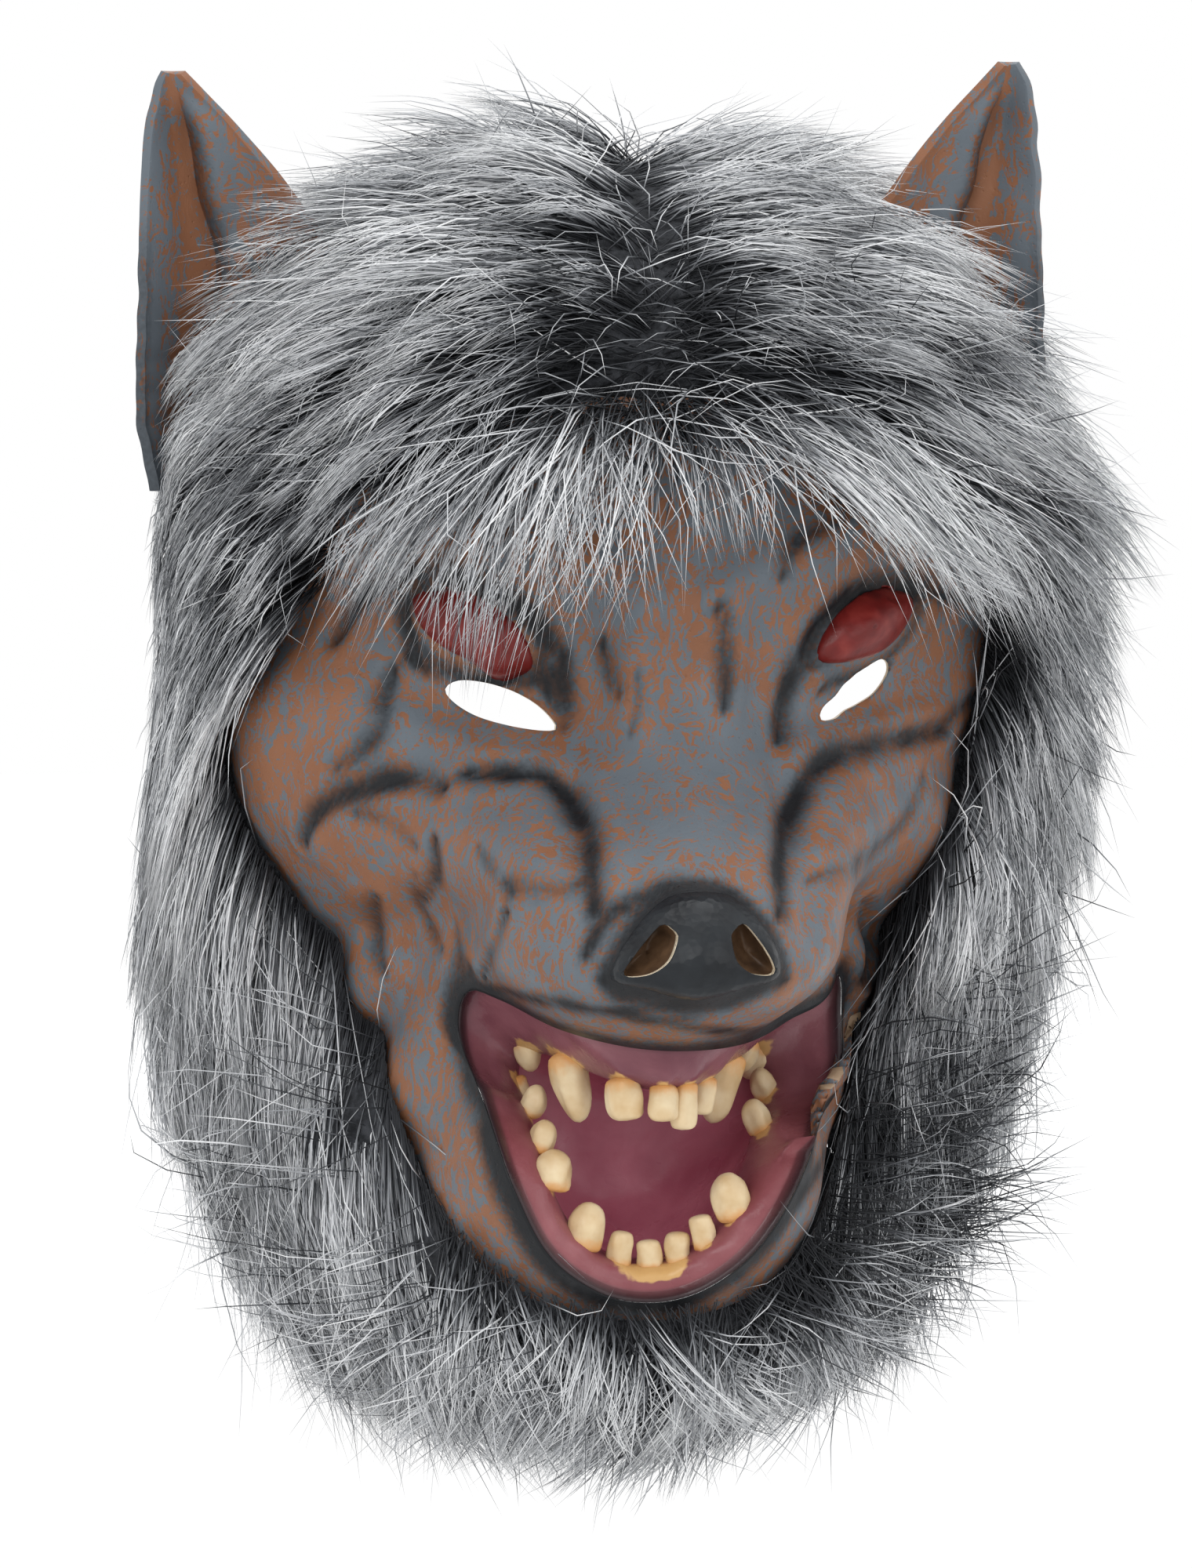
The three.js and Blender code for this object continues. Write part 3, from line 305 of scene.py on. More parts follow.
# Dense grid of the plain skin, on spokes from the lip line to the back edge, its rings evenly spaced
SKIN_SPOKES = 320
SKIN_RINGS = 98
even_spokes = np.arange(SKIN_SPOKES) / SKIN_SPOKES
skin_roll = 360 * spoke_share(even_spokes)
lip_aim = lip_direction(spoke_share(even_spokes))[:, None, :]
edge_aim = aim(skin_roll, rim_value(skin_roll, LATEX_EDGE))[:, None, :]
FINE_RINGS = 260
fine_share = np.linspace(0, 1, FINE_RINGS)**1.35
fine_shares = np.broadcast_to(fine_share, (SKIN_SPOKES, FINE_RINGS))
fine_skin = plain_skin(direction_between(lip_aim, edge_aim, fine_shares))
fine_steps = np.linalg.norm(np.diff(fine_skin, axis=1), axis=-1)
fine_run = np.concatenate([np.zeros((SKIN_SPOKES, 1)), np.cumsum(fine_steps, 1)], 1)
ring_share = np.linspace(0, 1, SKIN_RINGS + 1)
skin_share = np.array([np.interp(run[-1] * ring_share, run, fine_share) for run in fine_run])
for _ in range(3):
    skin_share = (np.roll(skin_share, 1, 0) + 2 * skin_share + np.roll(skin_share, -1, 0)) / 4
skin_aim = direction_between(lip_aim, edge_aim, skin_share)
plain_grid = plain_skin(skin_aim)

# Finder of skin points by pixel of the photograph, nearest to the camera first
pixel_u, pixel_v, pixel_depth = photo_pixels(plain_grid)
flat_grid = plain_grid.reshape(-1, 3)
skin_finder = finder_of([(u, v, 0) for u, v in zip(pixel_u.ravel(), pixel_v.ravel())])


def skin_at_pixel(u, v):
    found = skin_finder.find_n((u, v, 0), 8)
    reach = found[0][2] + 5
    near = [at for _, at, away in found if away < reach]
    return flat_grid[min(near, key=lambda at: pixel_depth.ravel()[at])]


# Airbrushed creases: points in the photograph, half width (mm), darkness, depth of the groove (mm)
CREASES = [
    ([(425, 815), (445, 770), (490, 738), (560, 730), (620, 745), (680, 790), (712, 840)], 3.0, 0.9, 1.3),
    ([(500, 850), (485, 890), (478, 930), (450, 962), (425, 975)], 2.6, 0.62, 0.8),
    ([(520, 845), (560, 862), (640, 872), (690, 868), (716, 850), (712, 905), (690, 880)], 2.0, 0.75, 0.7),
    ([(516, 770), (512, 800), (530, 840)], 1.5, 0.7, 0.6),
    ([(380, 1075), (390, 1045), (425, 1018), (480, 995), (540, 990), (560, 1000)], 2.8, 0.78, 1.2),
    ([(590, 988), (650, 984), (700, 990), (735, 1035), (750, 1090), (754, 1160)], 2.8, 0.85, 1.6),
    ([(640, 1120), (690, 1135), (730, 1130)], 2.4, 0.42, 0.5),
    ([(765, 818), (768, 850), (780, 880)], 2.2, 0.85, 0.8),
    ([(812, 865), (808, 900), (800, 930)], 1.6, 0.5, 0.6),
    ([(915, 770), (928, 815), (932, 860), (928, 905)], 2.4, 0.62, 0.9),
    ([(1000, 745), (1008, 705), (1035, 675), (1075, 660)], 2.4, 0.62, 0.8),
    ([(1150, 690), (1165, 730), (1140, 770)], 2.0, 0.5, 0.6),
    ([(1000, 945), (1002, 900), (1020, 850), (1060, 790), (1095, 758), (1140, 742), (1200, 752), (1250, 762)],
     2.9, 0.92, 1.4),
    ([(1050, 880), (1090, 868), (1140, 850)], 1.6, 0.6, 0.5),
    ([(1212, 930), (1150, 942), (1080, 955), (1035, 985), (1012, 1030), (1000, 1090), (1000, 1160)],
     2.9, 0.9, 1.6),
    ([(1245, 890), (1215, 915), (1190, 935)], 2.4, 0.6, 0.6),
    ([(1185, 990), (1160, 1050), (1120, 1090), (1070, 1115), (1035, 1122)], 2.6, 0.5, 0.7),
    ([(478, 1150), (470, 1190), (482, 1240)], 2.6, 0.6, 0.8),
    ([(548, 1075), (556, 1110), (540, 1150)], 2.2, 0.6, 0.9),
    ([(525, 1120), (535, 1170), (560, 1210)], 1.9, 0.45, 0.8),
    ([(455, 1040), (500, 1050), (520, 1080)], 1.8, 0.4, 0.6),
    ([(600, 1080), (620, 1110), (650, 1130)], 1.8, 0.4, 0.5),
    ([(596, 1245), (588, 1310), (602, 1400), (640, 1480), (690, 1560), (745, 1620), (800, 1655), (860, 1668)],
     3.4, 0.92, 0.4),
    ([(625, 1440), (665, 1520), (720, 1590), (770, 1630)], 3.4, 0.55, 0.0),
    ([(600, 1262), (580, 1230), (575, 1190)], 3.0, 0.55, 0.8),
    ([(1112, 1262), (1106, 1320), (1085, 1400), (1050, 1480), (1000, 1560)], 2.8, 0.8, 0.3),
    ([(1100, 1250), (1115, 1220), (1118, 1180)], 2.6, 0.5, 0.6),
    ([(615, 1262), (700, 1280), (790, 1296), (870, 1310), (940, 1318), (1000, 1306), (1060, 1276)],
     2.3, 0.82, 0.0),
    ([(745, 1215), (760, 1180), (800, 1150), (850, 1130), (905, 1135), (950, 1165), (990, 1215)],
     2.8, 0.75, 0.0),
    ([(760, 1258), (820, 1276), (881, 1290), (950, 1276), (1000, 1250)], 3.0, 0.75, 0.0),
    ([(600, 620), (640, 660), (650, 700)], 3.2, 0.5, 0.7),
    ([(700, 870), (722, 900), (716, 930)], 2.4, 0.6, 0.6),
    ([(640, 1160), (628, 1205), (614, 1252)], 2.2, 0.5, 1.8),
    ([(1104, 1150), (1113, 1200), (1108, 1250)], 2.2, 0.5, 1.6),
]
crease_tracks = []
for pixels, width, darkness, depth in CREASES:
    length = sum(math.dist(a, b) for a, b in zip(pixels, pixels[1:]))
    track = np.array([skin_at_pixel(u, v) for u, v in smooth_curve(pixels, max(int(length / 6), 4))])
    for _ in range(12):
        track[1:-1] = (track[:-2] + 2 * track[1:-1] + track[2:]) / 4
    crease_tracks.append((track, width, darkness, depth))


lip_track = plain_grid[::2, 0]
STROKE_END = 0.15


def away_from(points, track, width=1.0):
    """Distance of each point from a track on the skin, in widths; a stroke thins out at its ends."""
    flat = points.reshape(-1, 3).astype(np.float32)
    best = np.full(len(flat), 1e9, np.float32)
    along = np.sin(np.linspace(STROKE_END, math.pi - STROKE_END, len(track)))
    widths = np.full(len(track), width) if width == 1.0 else width * (0.4 + 0.6 * along**0.6)
    for place, wide in zip(track.astype(np.float32), widths):
        best = np.minimum(best, np.sum((flat - place)**2, 1) / wide**2)
    return np.sqrt(best).reshape(points.shape[:-1])


EYES = [("eye_left", -0.458, 0.056, -25), ("eye_right", 0.469, 0.06, 25)]
EYE_ACROSS = 0.15 * HALF_WIDTH
EYE_UP = 0.031 * FACE_HEIGHT
NOSE_HALF = [
    (0, -0.149), (0.075, -0.154), (0.135, -0.173), (0.182, -0.199), (0.187, -0.22), (0.11, -0.228),
    (0, -0.237),
]
nose_half = [(x * HALF_WIDTH, z * FACE_HEIGHT) for x, z in NOSE_HALF]
NOSE_LOOP = smooth_curve(nose_half + [(-x, z) for x, z in nose_half[-2:0:-1]], 96, closed=True)


def eye_share(points, x, z, roll):
    """0 at the middle of an eye, 1 on its outline."""
    dx = points[..., 0] - x * HALF_WIDTH
    dz = points[..., 2] - z * FACE_HEIGHT
    turned = math.radians(roll)
    across = dx * math.cos(turned) + dz * math.sin(turned)
    up = dz * math.cos(turned) - dx * math.sin(turned)
    return np.sqrt((across / EYE_ACROSS)**2 + (up / EYE_UP)**2)


def nose_inside(points):
    """Distance inside the nose outline as seen from the front, negative outside it."""
    x, z = points[..., 0], points[..., 2]
    best = np.full(x.shape, 1e9)
    inside = np.zeros(x.shape, bool)
    for (ax, az), (bx, bz) in zip(NOSE_LOOP, np.roll(NOSE_LOOP, -1, 0)):
        share = np.clip(((x - ax) * (bx - ax) + (z - az) * (bz - az)) / ((bx - ax)**2 + (bz - az)**2), 0, 1)
        best = np.minimum(best, np.hypot(x - ax - share * (bx - ax), z - az - share * (bz - az)))
        crosses = (az > z) != (bz > z)
        at = (bx - ax) * (z - az) / np.where(bz == az, 1e-9, bz - az) + ax
        inside ^= crosses & (x < at)
    return np.where(inside, best, -best)


def fold_noise(points, size, seed):
    flat = points.reshape(-1, 3) / size + seed
    return np.array([noise.noise(Vector(place)) for place in flat]).reshape(points.shape[:-1])


def sculpted(points):
    """How far the finer sculpting stands off the plain skin."""
    rise = np.zeros(points.shape[:-1])
    for track, width, _, depth in crease_tracks:
        if depth > 0:
            away = away_from(points, track, width)
            rise -= depth * np.exp(-away**2)
            rise += 0.45 * depth * np.exp(-((away - 2.2) / 1.1)**2)
    for _, x, z, roll in EYES:
        share = eye_share(points, x, z, roll)
        rise += 1.8 * np.clip(1 - share**2, 0, 1)
        rise -= 1.0 * np.exp(-((share - 1.06) / 0.1)**2)
        rise += 1.3 * np.exp(-((share - 1.34) / 0.17)**2)
    inside = nose_inside(points)
    front = np.clip((-0.9 * FACE_DEPTH - points[..., 1]) / 20, 0, 1)
    rise += front * 2.2 * smoothstep(inside, -1.2, 2.4)
    for side in (-1, 1):
        wing = np.hypot(points[..., 0] - side * 13, (points[..., 2] + 50.2) * 0.9)
        rise += front * 1.6 * np.exp(-(wing / 4.6)**2)
    rise += front * 1.5 * np.exp(-(points[..., 0] / 5)**2 - ((points[..., 2] + 43.7) / 8)**2)
    cheeks = smoothstep(np.abs(points[..., 0]), 18, 40) * smoothstep(-points[..., 2], 5, 25)
    rise += cheeks * 0.8 * fold_noise(points * np.array([1.0, 1.0, 0.55]), 11, 4.0)
    rise += 0.3 * fold_noise(points, 7, 9.0)
    return rise * smoothstep(away_from(points, lip_track), 0.5, 8)


def skin(direction):
    points = plain_skin(direction)
    return points + direction * sculpted(points)[..., None]


skin_grid = plain_grid + skin_aim * sculpted(plain_grid)[..., None]


# Meshes from points and faces
def piece_from(name, points, faces, colours=None):
    """An object of a mesh; faces is a list of index arrays, one row a face."""
    mesh = bpy.data.meshes.new(name)
    sizes = np.concatenate([np.full(len(part), part.shape[1]) for part in faces])
    loops = np.concatenate([part.ravel() for part in faces]).astype(np.int32)
    starts = np.concatenate([[0], np.cumsum(sizes)[:-1]]).astype(np.int32)
    mesh.vertices.add(len(points))
    mesh.vertices.foreach_set("co", np.asarray(points, np.float32).ravel())
    mesh.loops.add(len(loops))
    mesh.loops.foreach_set("vertex_index", loops)
    mesh.polygons.add(len(sizes))
    mesh.polygons.foreach_set("loop_start", starts)
    mesh.update(calc_edges=True)
    mesh.polygons.foreach_set("use_smooth", np.ones(len(sizes), bool))
    for key, values in (colours or {}).items():
        layer = mesh.attributes.new(key, "FLOAT", "POINT")
        layer.data.foreach_set("value", np.asarray(values, np.float32).ravel())
    thing = bpy.data.objects.new(name, mesh)
    bpy.context.scene.collection.objects.link(thing)
    return thing


def grid_faces(rows, columns, loops, start=0, turned=False):
    """Quads of a grid of points; loops says that the last row is followed by the first."""
    row, column = np.meshgrid(np.arange(rows if loops else rows - 1), np.arange(columns - 1), indexing="ij")
    after = (row + 1) % rows
    quads = np.stack([row * columns + column, after * columns + column, after * columns + column + 1,
                      row * columns + column + 1], -1).reshape(-1, 4) + start
    return quads[:, ::-1] if turned else quads


def wall_faces(rows, columns, loops):
    """Faces of a sheet whose outer grid is followed by its inner grid."""
    count = rows * columns
    outer = grid_faces(rows, columns, loops)
    inner = grid_faces(rows, columns, loops, count, True)
    row = np.arange(rows if loops else rows - 1)
    after = (row + 1) % rows
    rims = []
    for column, flip in ((0, True), (columns - 1, False)):
        a, b = row * columns + column, after * columns + column
        rim = np.stack([a, b, b + count, a + count], -1)
        rims.append(rim if not flip else rim[:, ::-1])
    if not loops:
        column = np.arange(columns - 1)
        for at, flip in ((0, False), (rows - 1, True)):
            a = at * columns + column
            rim = np.stack([a, a + 1, a + 1 + count, a + count], -1)
            rims.append(rim if not flip else rim[:, ::-1])
    return [outer, inner] + rims


def only(thing):
    bpy.ops.object.select_all(action="DESELECT")
    thing.select_set(True)
    bpy.context.view_layer.objects.active = thing


def apply_all(thing):
    only(thing)
    for modifier in list(thing.modifiers):
        bpy.ops.object.modifier_apply(modifier=modifier.name)


def faces_outward(thing, merged=None):
    """Turns the faces of a closed piece outwards; points closer than merged, in metres, are joined first."""
    only(thing)
    bpy.ops.object.mode_set(mode="EDIT")
    bpy.ops.mesh.select_all(action="SELECT")
    if merged:
        bpy.ops.mesh.remove_doubles(threshold=merged)
    bpy.ops.mesh.normals_make_consistent(inside=False)
    bpy.ops.object.mode_set(mode="OBJECT")


# Materials
class Finish:
    """A node material; the helpers add nodes and give back their outputs."""

    def __init__(self, name, roughness=0.5, specular=0.5):
        self.material = bpy.data.materials.new(name)
        self.material.use_nodes = True
        self.nodes = self.material.node_tree.nodes
        self.links = self.material.node_tree.links
        self.shader = self.nodes["Principled BSDF"]
        self.shader.inputs["Roughness"].default_value = roughness
        self.shader.inputs["Specular IOR Level"].default_value = specular
        self.place = self.nodes.new("ShaderNodeTexCoord").outputs["Object"]

    def feed(self, socket, value):
        if hasattr(value, "is_output"):
            self.links.new(value, socket)
        elif isinstance(value, (int, float)):
            socket.default_value = value
        else:
            socket.default_value = (*value, 1)[:4]

    def noise(self, scale, detail=3, distortion=0.0, vector=None, rough=0.5):
        node = self.nodes.new("ShaderNodeTexNoise")
        node.inputs["Scale"].default_value = scale
        node.inputs["Detail"].default_value = detail
        node.inputs["Roughness"].default_value = rough
        node.inputs["Distortion"].default_value = distortion
        self.links.new(vector or self.place, node.inputs["Vector"])
        return node.outputs["Fac"]

    def cells(self, scale, vector=None):
        node = self.nodes.new("ShaderNodeTexVoronoi")
        node.inputs["Scale"].default_value = scale
        self.links.new(vector or self.place, node.inputs["Vector"])
        return node.outputs["Distance"]

    def attribute(self, name):
        node = self.nodes.new("ShaderNodeAttribute")
        node.attribute_name = name
        return node.outputs["Fac"]

    def maths(self, kind, a, b=0.0):
        node = self.nodes.new("ShaderNodeMath")
        node.operation = kind
        self.feed(node.inputs[0], a)
        self.feed(node.inputs[1], b)
        return node.outputs[0]

    def between(self, value, low, high, out_low=0.0, out_high=1.0):
        node = self.nodes.new("ShaderNodeMapRange")
        node.interpolation_type = "SMOOTHSTEP"
        for key, number in (("From Min", low), ("From Max", high), ("To Min", out_low), ("To Max", out_high)):
            node.inputs[key].default_value = number
        self.links.new(value, node.inputs["Value"])
        return node.outputs["Result"]

    def ramp(self, value, stops):
        node = self.nodes.new("ShaderNodeValToRGB")
        ramp = node.color_ramp
        while len(ramp.elements) < len(stops):
            ramp.elements.new(0.5)
        for element, (at, colour) in zip(ramp.elements, stops):
            element.position = at
            element.color = (*colour, 1)
        self.links.new(value, node.inputs["Fac"])
        return node.outputs["Color"]

    def mix(self, share, first, second):
        node = self.nodes.new("ShaderNodeMix")
        node.data_type = "RGBA"
        self.feed(node.inputs[0], share)
        self.feed(node.inputs[6], first)
        self.feed(node.inputs[7], second)
        return node.outputs[2]

    def colour(self, value):
        self.feed(self.shader.inputs["Base Color"], value)

    def rough(self, value):
        self.feed(self.shader.inputs["Roughness"], value)

    def bump(self, height, depth, strength=1.0):
        node = self.nodes.new("ShaderNodeBump")
        node.inputs["Strength"].default_value = strength
        node.inputs["Distance"].default_value = depth
        self.links.new(height, node.inputs["Height"])
        self.links.new(node.outputs["Normal"], self.shader.inputs["Normal"])


BROWN = (0.190, 0.080, 0.042)
WARM_BROWN = (0.290, 0.130, 0.068)
BLUE_GREY = (0.095, 0.126, 0.152)
CHARCOAL = (0.010, 0.011, 0.013)


def marbled_latex(name):
    """Brown latex sponged with blue-grey in fine streaks, with airbrushed creases."""
    finish = Finish(name, 0.45, 0.22)
    bend = finish.nodes.new("ShaderNodeTexNoise")
    bend.inputs["Scale"].default_value = 75
    bend.inputs["Detail"].default_value = 2
    finish.links.new(finish.place, bend.inputs["Vector"])
    swirl = finish.nodes.new("ShaderNodeVectorMath")
    swirl.operation = "MULTIPLY_ADD"
    finish.links.new(bend.outputs["Color"], swirl.inputs[0])
    swirl.inputs[1].default_value = (0.012, 0.012, 0.012)
    finish.links.new(finish.place, swirl.inputs[2])
    squeeze = finish.nodes.new("ShaderNodeMapping")
    squeeze.inputs["Scale"].default_value = (500, 500, 150)
    squeeze.inputs["Rotation"].default_value = (0.2, 0.35, 0.4)
    finish.links.new(swirl.outputs[0], squeeze.inputs["Vector"])
    streaks = finish.noise(1, 4, 1.1, squeeze.outputs["Vector"], 0.62)
    curls = finish.noise(330, 4, 2.4, swirl.outputs[0], 0.62)
    both = finish.maths("ADD", finish.maths("MULTIPLY", streaks, 0.58), finish.maths("MULTIPLY", curls, 0.42))
    broad = finish.maths("MULTIPLY", finish.maths("SUBTRACT", finish.noise(55, 2, 0.6), 0.5), 0.20)
    leaning = finish.maths("MULTIPLY", finish.attribute("blue"), 0.034)
    level = finish.maths("ADD", finish.maths("ADD", both, broad), leaning)
    cover = finish.between(level, 0.484, 0.510)
    brown = finish.mix(finish.noise(70, 3), BROWN, WARM_BROWN)
    grey = finish.mix(finish.noise(90, 3), BLUE_GREY, (0.128, 0.164, 0.194))
    base = finish.mix(finish.maths("MULTIPLY", cover, 0.93), brown, grey)
    spray = finish.noise(900, 2)
    dark = finish.attribute("shade")
    speckled = finish.maths("ADD", dark, finish.maths("MULTIPLY", finish.maths("SUBTRACT", spray, 0.5), 0.26))
    shade = finish.between(speckled, 0.03, 0.97)
    finish.colour(finish.mix(shade, base, CHARCOAL))
    finish.rough(finish.between(finish.noise(160, 3), 0.3, 0.7, 0.36, 0.52))
    pits = finish.between(finish.cells(560), 0.0, 0.22)
    height = finish.maths("ADD", finish.maths("MULTIPLY", pits, 0.4), finish.maths("MULTIPLY", both, 0.6))
    finish.bump(height, 0.0004, 0.6)
    return finish.material


def bare_latex():
    finish = Finish("bare_latex", 0.55, 0.4)
    tone = finish.noise(45, 4, 0.5)
    finish.colour(finish.ramp(tone, [(0.3, (0.30, 0.20, 0.12)), (0.7, (0.44, 0.31, 0.20))]))
    finish.bump(finish.noise(300, 4), 0.0004, 0.6)
    return finish.material


# Brown latex darkened well below the inner latex: painted shade for the inside of the nostril hollows
def painted_shade_latex():
    finish = Finish("painted_shade_latex", 0.5, 0.4)
    tone = finish.noise(240, 3)
    finish.colour(finish.ramp(tone, [(0.3, (0.055, 0.030, 0.016)), (0.7, (0.150, 0.085, 0.045))]))
    finish.bump(finish.noise(500, 3), 0.0003, 0.5)
    return finish.material


def cut_latex():
    finish = Finish("cut_latex", 0.6, 0.35)
    finish.colour(finish.ramp(finish.noise(400, 2), [(0.3, (0.60, 0.50, 0.36)), (0.7, (0.80, 0.71, 0.56))]))
    return finish.material


def red_paint():
    finish = Finish("red_paint", 0.34, 0.3)
    blotch = finish.noise(150, 4, 0.6)
    finish.colour(finish.ramp(blotch, [(0.25, (0.085, 0.008, 0.007)), (0.5, (0.165, 0.014, 0.012)),
                                       (0.75, (0.250, 0.034, 0.026))]))
    finish.bump(finish.noise(420, 3), 0.0003, 0.6)
    return finish.material


def black_paint():
    finish = Finish("black_paint", 0.4, 0.25)
    tone = finish.noise(120, 4)
    finish.colour(finish.ramp(tone, [(0.3, (0.006, 0.007, 0.009)), (0.75, (0.020, 0.024, 0.028))]))
    finish.rough(finish.between(finish.noise(140, 3), 0.3, 0.7, 0.28, 0.45))
    finish.bump(finish.cells(620), 0.0003, 0.5)
    return finish.material


def gum_paint():
    """Purple pink over the gums, a lighter pink down in the mouth, redder on the lower side near the lips,
    orange at the teeth.
    """
    finish = Finish("gum_paint", 0.34, 0.32)
    patch = finish.noise(70, 4, 0.4)
    gum = finish.ramp(patch, [(0.3, (0.150, 0.045, 0.062)), (0.7, (0.265, 0.100, 0.118))])
    deep = finish.ramp(patch, [(0.3, (0.400, 0.095, 0.150)), (0.75, (0.560, 0.190, 0.255))])
    red = finish.ramp(patch, [(0.3, (0.200, 0.050, 0.060)), (0.7, (0.300, 0.100, 0.112))])
    base = finish.mix(finish.attribute("deep"), gum, deep)
    base = finish.mix(finish.attribute("red"), base, red)
    edge = finish.maths("ADD", finish.attribute("stain"),
                        finish.maths("MULTIPLY", finish.maths("SUBTRACT", finish.noise(330, 3), 0.5), 0.7))
    base = finish.mix(finish.between(edge, 0.42, 0.6), base, (0.60, 0.36, 0.14))
    base = finish.mix(finish.between(finish.attribute("shade"), 0.05, 1.0), base, CHARCOAL)
    finish.colour(base)
    finish.rough(finish.between(finish.noise(120, 3), 0.3, 0.7, 0.24, 0.4))
    finish.bump(finish.noise(260, 4), 0.0005, 0.6)
    return finish.material


def tooth_paint():
    finish = Finish("tooth_paint", 0.36, 0.35)
    tone = finish.noise(170, 3)
    bone = finish.ramp(tone, [(0.3, (0.60, 0.42, 0.22)), (0.7, (0.76, 0.62, 0.40))])
    stain = finish.maths("ADD", finish.attribute("root"),
                         finish.maths("MULTIPLY", finish.maths("SUBTRACT", finish.noise(380, 3), 0.5), 0.8))
    finish.colour(finish.mix(finish.between(stain, 0.35, 1.1), bone, (0.66, 0.33, 0.11)))
    finish.bump(finish.noise(360, 3), 0.0004, 0.5)
    return finish.material


def fur_pile(name):
    """Charcoal at the root and pale grey at the tip; tone is carried by each strand."""
    finish = Finish(name, 0.6, 0.3)
    finish.colour(finish.ramp(finish.attribute("tone"), [
        (0.0, (0.008, 0.009, 0.011)), (0.25, (0.042, 0.045, 0.052)), (0.5, (0.240, 0.252, 0.270)),
        (0.75, (0.640, 0.654, 0.676)), (1.0, (0.900, 0.910, 0.920))]))
    return finish.material


def fur_cloth():
    finish = Finish("fur_cloth", 0.95, 0.2)
    tone = finish.noise(420, 4)
    finish.colour(finish.ramp(tone, [(0.3, (0.012, 0.013, 0.015)), (0.7, (0.050, 0.053, 0.060))]))
    finish.bump(finish.noise(900, 3), 0.0012, 0.9)
    return finish.material


def woven_elastic():
    finish = Finish("woven_elastic", 0.85, 0.3)
    ribs = finish.nodes.new("ShaderNodeTexWave")
    ribs.bands_direction = "Z"
    ribs.inputs["Scale"].default_value = 330
    finish.links.new(finish.place, ribs.inputs["Vector"])
    weave = finish.noise(1400, 2)
    ribbed = finish.maths("MULTIPLY", ribs.outputs["Fac"], 0.7)
    both = finish.maths("ADD", ribbed, finish.maths("MULTIPLY", weave, 0.5))
    finish.colour(finish.ramp(both, [(0.2, (0.008, 0.008, 0.009)), (0.9, (0.040, 0.040, 0.044))]))
    finish.bump(both, 0.0005, 0.9)
    return finish.material


def pale_floor():
    """White floor that runs out to the white of the studio."""
    finish = Finish("pale_floor", 0.9, 0.1)
    away = finish.nodes.new("ShaderNodeVectorMath")
    away.operation = "LENGTH"
    finish.links.new(finish.place, away.inputs[0])
    fade = finish.between(away.outputs["Value"], 0.35, 1.0)
    finish.colour(finish.mix(fade, (0.90, 0.90, 0.90), (0.0, 0.0, 0.0)))
    finish.shader.inputs["Emission Color"].default_value = (1, 1, 1, 1)
    finish.feed(finish.shader.inputs["Emission Strength"], fade)
    return finish.material


skin_paint = marbled_latex("marbled_latex")
inner_latex = bare_latex()
cut_edge = cut_latex()
pocket_painted_shade = painted_shade_latex()
eye_paint = red_paint()
nose_paint = black_paint()
lining_paint = gum_paint()
enamel_paint = tooth_paint()
pile = fur_pile("long_pile")
pile_cloth = fur_cloth()
band_weave = woven_elastic()


def finished(thing, nodes):
    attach(thing, "root")
    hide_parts(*nodes)


# Where the sponged blue-grey is heavier or lighter: pixel, reach in pixels, amount
BLUE_PATCHES = [
    (870, 980, 130, 1.0), (860, 1085, 90, 0.8), (960, 1000, 60, 0.5), (560, 900, 70, 0.6),
    (520, 965, 60, 0.6), (700, 1180, 60, 0.6), (960, 740, 60, 0.5), (900, 700, 50, 0.4),
    (600, 690, 45, 0.5), (620, 1020, 60, 0.6), (440, 1010, 50, 0.4), (1150, 1000, 50, 0.4),
    (560, 1330, 40, 0.4), (400, 1180, 50, 0.4), (800, 1010, 70, 0.6), (420, 830, 80, -0.9),
    (470, 1100, 70, -0.9), (560, 1420, 80, -0.6), (640, 1540, 50, -0.7), (790, 870, 40, -0.7),
    (850, 800, 60, -0.7), (1090, 1400, 50, -0.6), (1120, 620, 60, -0.9), (1150, 960, 50, -0.5),
    (530, 1150, 60, -0.8), (450, 680, 50, -0.9), (1010, 1240, 50, -0.4), (400, 960, 60, -0.3),
    (720, 740, 50, -0.5), (1180, 800, 40, -0.4), (350, 1100, 60, 0.2), (860, 880, 40, -0.4),
]


def sprayed(under, over):
    """Darkness of paint sprayed over paint that is there already."""
    return 1 - (1 - under) * (1 - over)


def painted(points):
    """Airbrush darkness and lean to blue-grey at skin points."""
    shade = np.zeros(points.shape[:-1])
    for track, width, darkness, _ in crease_tracks:
        layer = min(1.25 * darkness, 0.97) * np.exp(-(away_from(points, track, width) / 1.38)**1.6)
        shade = sprayed(shade, layer)
    shade = np.clip(shade * (0.93 + 0.5 * fold_noise(points, 9, 13.0)), 0, 1)
    for _, x, z, roll in EYES:
        shade = sprayed(shade, 0.62 * np.exp(-((eye_share(points, x, z, roll) - 1.08) / 0.16)**2))
    front = points[..., 1] < -0.9 * FACE_DEPTH
    shade = sprayed(shade, 0.95 * front * smoothstep(nose_inside(points), -3.6, 0.6))
    u, v, _ = photo_pixels(points)
    blue = np.zeros(points.shape[:-1])
    for at_u, at_v, reach, amount in BLUE_PATCHES:
        blue += amount * np.exp(-((u - at_u)**2 + (v - at_v)**2) / reach**2)
    return np.clip(shade, 0, 1), np.clip(blue, -1.3, 1.3)


skin_shade, skin_blue = painted(plain_grid)
LIP_PAINT_REACH = 6.6
lip_dark = 0.93 * np.exp(-(np.linalg.norm(skin_grid - skin_grid[:, :1], axis=-1) / LIP_PAINT_REACH)**2)
skin_shade = sprayed(skin_shade, lip_dark)

